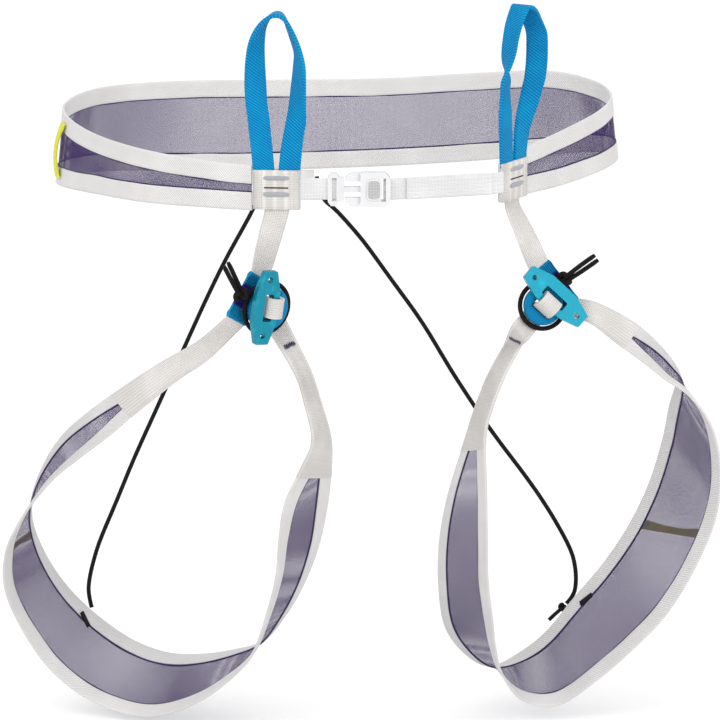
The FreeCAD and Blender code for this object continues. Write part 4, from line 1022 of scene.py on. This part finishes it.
def make_elastic_ring(side):
    """Elastic ring round the eye."""
    spot = in_metres(side)
    cx, cy = LEG_BUCKLES[side]["eye"]
    radius = ring_radius(side)
    sides, steps = 14, 64
    rings = []
    for i in range(steps + 1):
        round_eye = 2 * math.pi * i / steps
        ring = []
        for k in range(sides):
            round_cord = 2 * math.pi * k / sides
            reach = radius + CORD_DIAMETER / 2 * math.cos(round_cord)
            level = ELASTIC_LEVEL + CORD_DIAMETER / 2 * math.sin(round_cord)
            ring.append(spot(cx + reach * math.cos(round_eye), cy + reach * math.sin(round_eye), level))
        rings.append(ring)
    piece = hoop("toggle_elastic_%s_braid" % side, rings, ELASTIC, math.pi * CORD_DIAMETER * MM / sides,
                 2 * math.pi * radius * MM)
    stand_in(piece, "toggle_elastic_" + side)


def make_elastic_knot(side):
    """The elastic's knot and two tails."""
    data = LEG_BUCKLES[side]
    spot = in_metres(side)
    distance = ring_radius(side) + CORD_DIAMETER / 2 + KNOT_REACH
    angle = math.radians(data["knot"])
    outwards = Vector((math.cos(angle), math.sin(angle), 0))
    centre = Vector((*data["eye"], ELASTIC_LEVEL)) + outwards * distance
    tilt = Matrix.Rotation(math.radians(data["lean"]), 3, "Y")
    lean = Matrix.Rotation(math.radians(data["tail"]), 3, "Z") @ tilt
    parts = [knot_turns("knot_turns_" + side, spot, centre, lean, 2.5, 1.45, ELASTIC)]
    for sign in (-1, 1):
        line = []
        for i in range(10):
            share = i / 9
            bend = 0.8 * math.sin(share * math.pi) * sign
            local = Vector((1.5 + 18.5 * share, sign * (1.0 + 0.45 * share) + bend * 0.3, 0.5 * bend))
            line.append(spot(*(centre + lean @ local)))
        radii = [CORD_DIAMETER / 2 * MM] * 9 + [CORD_DIAMETER / 2 * 0.8 * MM]
        parts.append(tube("tail_%s_%d" % (side, sign), line, radii, ELASTIC))
    knot = join("elastic_knot_%s_braid" % side, parts)
    stand_in(knot, "elastic_knot_" + side)


def knot_turns(name, spot, centre, lean, size, radius, material):
    """Overhand knot pulled tight: a trefoil of fat cord."""
    line = []
    steps = 72
    for i in range(steps + 1):
        t = 2 * math.pi * i / steps
        local = Vector((-1.235 * math.sin(3 * t), math.cos(t) + 1.1 * math.cos(2 * t),
                        math.sin(t) - 1.1 * math.sin(2 * t))) * size * 0.62
        line.append(spot(*(centre + lean @ local)))
    return tube(name, line, radius * MM, material, sides=12)


def make_sleeve(side):
    """Blue webbing sleeve behind the eye with its two ends rolled over."""
    data = LEG_BUCKLES[side]
    spot = in_metres(side)
    turn = math.radians(data["sleeve_turn"])
    half, roll = SLEEVE_LENGTH / 2, SLEEVE_THICK / 2
    inner = half - SLEEVE_THICK
    outline = []
    for sign, flat in ((-1, [(-inner, -0.9), (0, -0.8), (inner, -0.9)]),
                       (1, [(inner, 0.7), (0, 0.6), (-inner, 0.7)])):
        for i in range(9):
            angle = -sign * math.pi / 2 + math.pi * i / 8
            outline.append((sign * (half - roll) + roll * math.cos(angle), roll * math.sin(angle)))
        outline += flat
    rings = []
    widths = [-1, -0.94, -0.6, -0.2, 0.2, 0.6, 0.94, 1]
    for share in widths:
        shrink = 0.93 if abs(share) == 1 else 1.0
        ring = []
        for x, z in outline:
            y = share * SLEEVE_WIDTH / 2
            px = data["sleeve"][0] + x * shrink * math.cos(turn) - y * math.sin(turn)
            py = data["sleeve"][1] + x * shrink * math.sin(turn) + y * math.cos(turn)
            ring.append(spot(px, py, SLEEVE_LEVEL + z * shrink))
        rings.append(ring)
    piece = build("toggle_sleeve_%s_cloth" % side, rings, SLEEVE, [x * MM for x, _ in outline],
                  [s * SLEEVE_WIDTH / 2 * MM for s in widths])
    stand_in(piece, "toggle_sleeve_" + side)


def nearest_order(pair, reference):
    """The pair turned so that its first point lies on the reference row's first edge."""
    a, b = pair
    ra, rb = Vector(reference[:3]), Vector(reference[3:])
    if (a - ra).length + (b - rb).length > (a - rb).length + (b - ra).length:
        return (*b, *a)
    return (*a, *b)


def cross_row(side, angle, centre, level, distance, half):
    """Edge row across a strand that leaves the buckle in one direction."""
    turn = math.radians(angle)
    along = Vector((math.cos(turn), math.sin(turn), 0))
    across = Vector((-math.sin(turn), math.cos(turn), 0))
    middle = Vector((centre[0], centre[1], level)) + along * distance
    place = leg_matrix(side)
    return place @ (middle + across * half), place @ (middle - across * half)


def sleeve_end(side, sign, half):
    """Edge row across one end of the sleeve."""
    data = LEG_BUCKLES[side]
    reach = sign * (SLEEVE_LENGTH / 2 - 1.0)
    return cross_row(side, data["sleeve_turn"], data["sleeve"], SLEEVE_LEVEL, reach, half)


def leg_rows(side):
    """Leg band edge rows, with the strands' ends at the buckle."""
    data = LEG_BUCKLES[side]
    rows = LEFT_LEG if side == "left" else RIGHT_LEG
    half = WEBBING_WIDTH / 2
    start = nearest_order(sleeve_end(side, -data["sleeve_up"], half), rows[0])
    level = -TAB_DEPTH - 0.4 - WEBBING_THICK / 2
    ends = [nearest_order(cross_row(side, data["exit"], (0, 0), level, distance, half - 0.5), rows[-1])
            for distance in (19.0, 11.0, 2.0)]
    return [start] + rows + ends


BAND_SPAN = {"left": (3, 22), "right": (2, 21)}
KEEPER_ROWS = {"left": (8.6, 9.2), "right": (9.8, 8.4)}
SLOT_ROW = {"left": 11.6, "right": 11.7}
TACK_ROW = {"left": 25.55, "right": 24.6}


def make_leg_band(side):
    """Outer strand, mesh band with two tapes, inner strand, keeper, cord slot and bar-tack."""
    frames = sections(leg_rows(side), STEPS)
    first, last = BAND_SPAN[side]
    strands = (("strand_outer_", frames[:first * STEPS + 3]), ("strand_inner_", frames[last * STEPS - 2:]))
    for node, part in strands:
        strand = ribbon(node + side + "_cloth", part, WEBBING, WEBBING_THICK)
        stand_in(strand, node + side)
    banded(frames[first * STEPS:last * STEPS + 1], "leg_mesh_" + side, "leg_tape_rear_" + side,
           "leg_tape_front_" + side, 0.6)
    rear, front = KEEPER_ROWS[side]
    keeper(frames, rear * STEPS, front * STEPS, 4.0, "leg_keeper_" + side)
    slot = patch("cord_slot_%s_binding" % side, frames[round(SLOT_ROW[side] * STEPS)], 4.6,
                 TAPE_WIDTH - 1.8, TAPE_WIDTH + 1.4, -1.7, -0.9, BLACK)
    stand_in(slot, "cord_slot_" + side)
    zigzag(side, frames[round(TACK_ROW[side] * STEPS)])


def patch(name, section, half, start, end, low, high, material):
    """Short strip lying on a band."""
    point, across, normal, width, _ = section
    along = across.cross(normal).normalized()
    rings = []
    reaches = (-half, -half * 0.9, 0, half * 0.9, half)
    for reach in reaches:
        thin = 0.6 if abs(reach) == half else 1.0
        middle = (low + high) / 2
        outline = rounded_strip(start * MM, end * MM, (middle + (low - middle) * thin) * MM,
                                (middle + (high - middle) * thin) * MM)
        rings.append([point + along * reach * MM + across * u + normal * n for u, n in outline])
    return build(name, rings, material, [u for u, _ in outline], [r * MM for r in reaches])


def zigzag(side, section):
    """Navy bar-tack on the inner strand: zigzag stitches over a straight core."""
    point, across, normal, width, _ = section
    along = across.cross(normal).normalized()
    middle = point + across * width / 2 + normal * (WEBBING_THICK / 2 + 0.3) * MM
    line = []
    for i in range(13):
        swing = (1.2 if i % 2 else -1.2) * (1 + 0.7 * noise.noise(Vector((i * 1.7, 3.0, 0.0))))
        line.append(middle + across * (-3.2 + 6.4 * i / 12) * MM + along * swing * MM)
    piece = tube("strand_tack_%s_thread" % side, smooth(line, 4), 0.24 * MM, NAVY_THREAD, sides=8)
    stand_in(piece, "strand_tack_" + side)


def riser_gap(side):
    """Gap under a wrap that keeps the riser's turned upper edge clear as the leg loop swings."""
    rise = abs(math.sin(math.radians(WRAPS[side][1]))) * math.sin(math.radians(LEG_SWING))
    return HINGE_GAP + rise * WEBBING_WIDTH / 2


def make_riser(side):
    """Front riser webbing: it runs up into the wrap."""
    data = LEG_BUCKLES[side]
    top = WRAP_TOP - WRAP_HEIGHT - riser_gap(side)
    half = WEBBING_WIDTH / 2
    centre, turn_out = WRAPS[side]
    spin = Matrix.Rotation(math.radians(turn_out), 3, "Z")
    start = centre + Vector((0, 0, top))
    direction = spin @ Vector((1, 0, 0))
    rise = Vector((0, 0, riser_gap(side) + 3.0))
    rows = [(*(start + rise - direction * half), *(start + rise + direction * half)),
            (*(start - direction * half), *(start + direction * half))]
    pair = sleeve_end(side, data["sleeve_up"], half - 0.4)
    end = nearest_order(pair, rows[0])
    finish = (Vector(end[:3]) + Vector(end[3:])) / 2
    final = (Vector(end[3:]) - Vector(end[:3])).normalized()
    for share in (0.33, 0.68):
        middle = start + (finish - start) * share
        turn = (direction * (1 - share) + final * share).normalized()
        rows.append((*(middle - turn * (half - 0.2)), *(middle + turn * (half - 0.2))))
    rows.append(end)
    node = "front_riser_" + side
    piece = ribbon(node + "_cloth", sections(rows, 8), WEBBING, WEBBING_THICK)
    stand_in(piece, node, rides=False)
    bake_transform(piece)


# ---------------------------------------------------------------- waist straps

def flat_strap(node, start, end, steps, offset=0.0):
    """Straight strap between two points, its face towards the front."""
    run = end - start
    out = Vector((0, 0, 1)).cross(run.normalized()).normalized()
    rise = Vector((0, 0, STRAP_WIDTH / 2))
    rows = []
    for i in range(steps + 1):
        middle = start + run * i / steps + out * offset
        rows.append((*(middle + rise), *(middle - rise)))
    return ribbon(node + "_cloth", sections(rows, 2), STRAP, STRAP_THICK)


def make_short_strap():
    """Fixed strap, from inside the left wrap to the buckle's ladder end."""
    low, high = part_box("waist_strap_left")
    depth = (low[1] + high[1]) / 2 / MM
    start = Vector((low[0] / MM - 2.0, depth, STRAP_LEVEL))
    end = Vector((high[0] / MM + 4.5, depth, STRAP_LEVEL))
    stand_in(flat_strap("waist_strap_left", start, end, 6), "waist_strap_left")


def make_long_strap():
    """Adjustable strap, from inside the socket to inside the right wrap, and its folded-back tail."""
    low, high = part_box("waist_strap_right")
    socket_end = Vector((low[0] / MM, low[1] / MM + STRAP_THICK / 2, STRAP_LEVEL))
    wrap_end = Vector((high[0] / MM, high[1] / MM - STRAP_THICK / 2, STRAP_LEVEL))
    run = wrap_end - socket_end
    spans = (("waist_strap_right", STRAP_SPAN, 0.0), ("waist_strap_tail", TAIL_SPAN, -STRAP_THICK - TAIL_GAP))
    for node, (first, last), offset in spans:
        piece = flat_strap(node, socket_end + run * first, socket_end + run * last, 12, offset)
        stand_in(piece, node, rides=False)
        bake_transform(piece)


# ---------------------------------------------------------------- cords

def make_cords():
    """Both rear riser cords, and the stopper knot on the right one."""
    for side, table, far_end in (("left", LEFT_CORD, "object"), ("right", RIGHT_CORD, "knot")):
        points = [Vector(p) * MM for p in table]
        line = nurbs_line(points)
        node = "riser_cord_" + side
        piece = tube(node + "_braid", line, CORD_DIAMETER / 2 * MM, CORD)
        stand_in(piece, node, rides=False)
        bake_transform(piece)
        extra = [make_cord_knot(line)] if far_end == "knot" else []


def make_cord_knot(line):
    """Stopper knot and short tail at the right cord's end."""
    end = line[-1] / MM
    before = (line[-1] - line[-4]).normalized()
    centre = end + before * 2.8
    lean = before.to_track_quat("X", "Z").to_matrix()
    turns = knot_turns("stopper", lambda x, y, z: Vector((x, y, z)) * MM, centre, lean, 1.45, 1.0, CORD)
    tail = []
    for i in range(8):
        share = i / 7
        tail.append((centre + Vector((-9, -3, -6.5)).normalized() * 10.0 * share
                     + Vector((0, 0, -0.8)) * share * share) * MM)
    end_piece = tube("stopper_tail", tail, CORD_DIAMETER / 2 * 0.92 * MM, CORD)
    knot = join("cord_knot_right_braid", [turns, end_piece])
    stand_in(knot, "cord_knot_right")
    return knot


# ---------------------------------------------------------------- hard parts kept from the CAD

def finish_hard_parts():
    """Soft edges and real finishes on the buckles, plates and anchor tab."""
    finishes = [("buckle_" + part, PLASTIC) for part in ("plug", "arm_upper", "arm_lower", "socket")]
    finishes += [("toggle_plate_left", PLATE), ("toggle_plate_right", PLATE), ("riser_anchor", TAPE)]
    for node, material in finishes:
        piece = frame["nodes"][node]
        for slot in piece.material_slots:
            slot.material = material
        soften = piece.modifiers.new("soft_edges", "BEVEL")
        soften.width = 0.35 * MM
        soften.segments = 3
        soften.limit_method = "ANGLE"
        soften.angle_limit = math.radians(40)


def soft_corner(value, power=0.5):
    """A sine or cosine drawn towards 1, which squares a circle with round corners."""
    return math.copysign(abs(value) ** power, value)


def make_window():
    """Rounded window on the socket's face, with the webbing behind it in a darker grey that paints the
    recess's shade, and a raised rim.
    """
    low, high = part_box("buckle_socket")
    centre = Vector(((low[0] + high[0]) / 2 - 0.8 * MM, low[1], (low[2] + high[2]) / 2))
    line = []
    for i in range(33):
        angle = 2 * math.pi * i / 32
        corner = Vector((3.4 * soft_corner(math.cos(angle)), 0, 5.0 * soft_corner(math.sin(angle))))
        line.append(centre + corner * MM)
    rim = tube("socket_window_rim", line, 0.5 * MM, PLASTIC, sides=8)
    rows = [(*(centre / MM + Vector((x, -0.05, 4.7))), *(centre / MM + Vector((x, -0.05, -4.7))))
            for x in (-3.0, 0.0, 3.0)]
    fill = ribbon("socket_window_webbing", sections(rows, 2), SHADED_WINDOW, 0.3)
    for piece in (rim, fill):
        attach(piece, "socket")


def main():
    """Camera and cords first, then bands, webbing, buckles and the setting."""
    bpy.context.scene.view_settings.view_transform = "Standard"
    add_camera()
    make_cords()
    make_belt()
    for side in ("left", "right"):
        make_wrap(side)
        add_tie_loop(side)
        make_tab(side)
        make_eye(side)
        make_elastic_ring(side)
        make_elastic_knot(side)
        make_sleeve(side)
        make_leg_band(side)
        make_riser(side)
    make_short_strap()
    make_long_strap()
    make_window()
    finish_hard_parts()
    add_world()
    add_floor()
    add_lamp("key", (-0.9, -1.5, 1.5), 1.2, 14.0)
    add_lamp("fill", (1.4, -1.6, 0.6), 1.5, 12.0)


main()
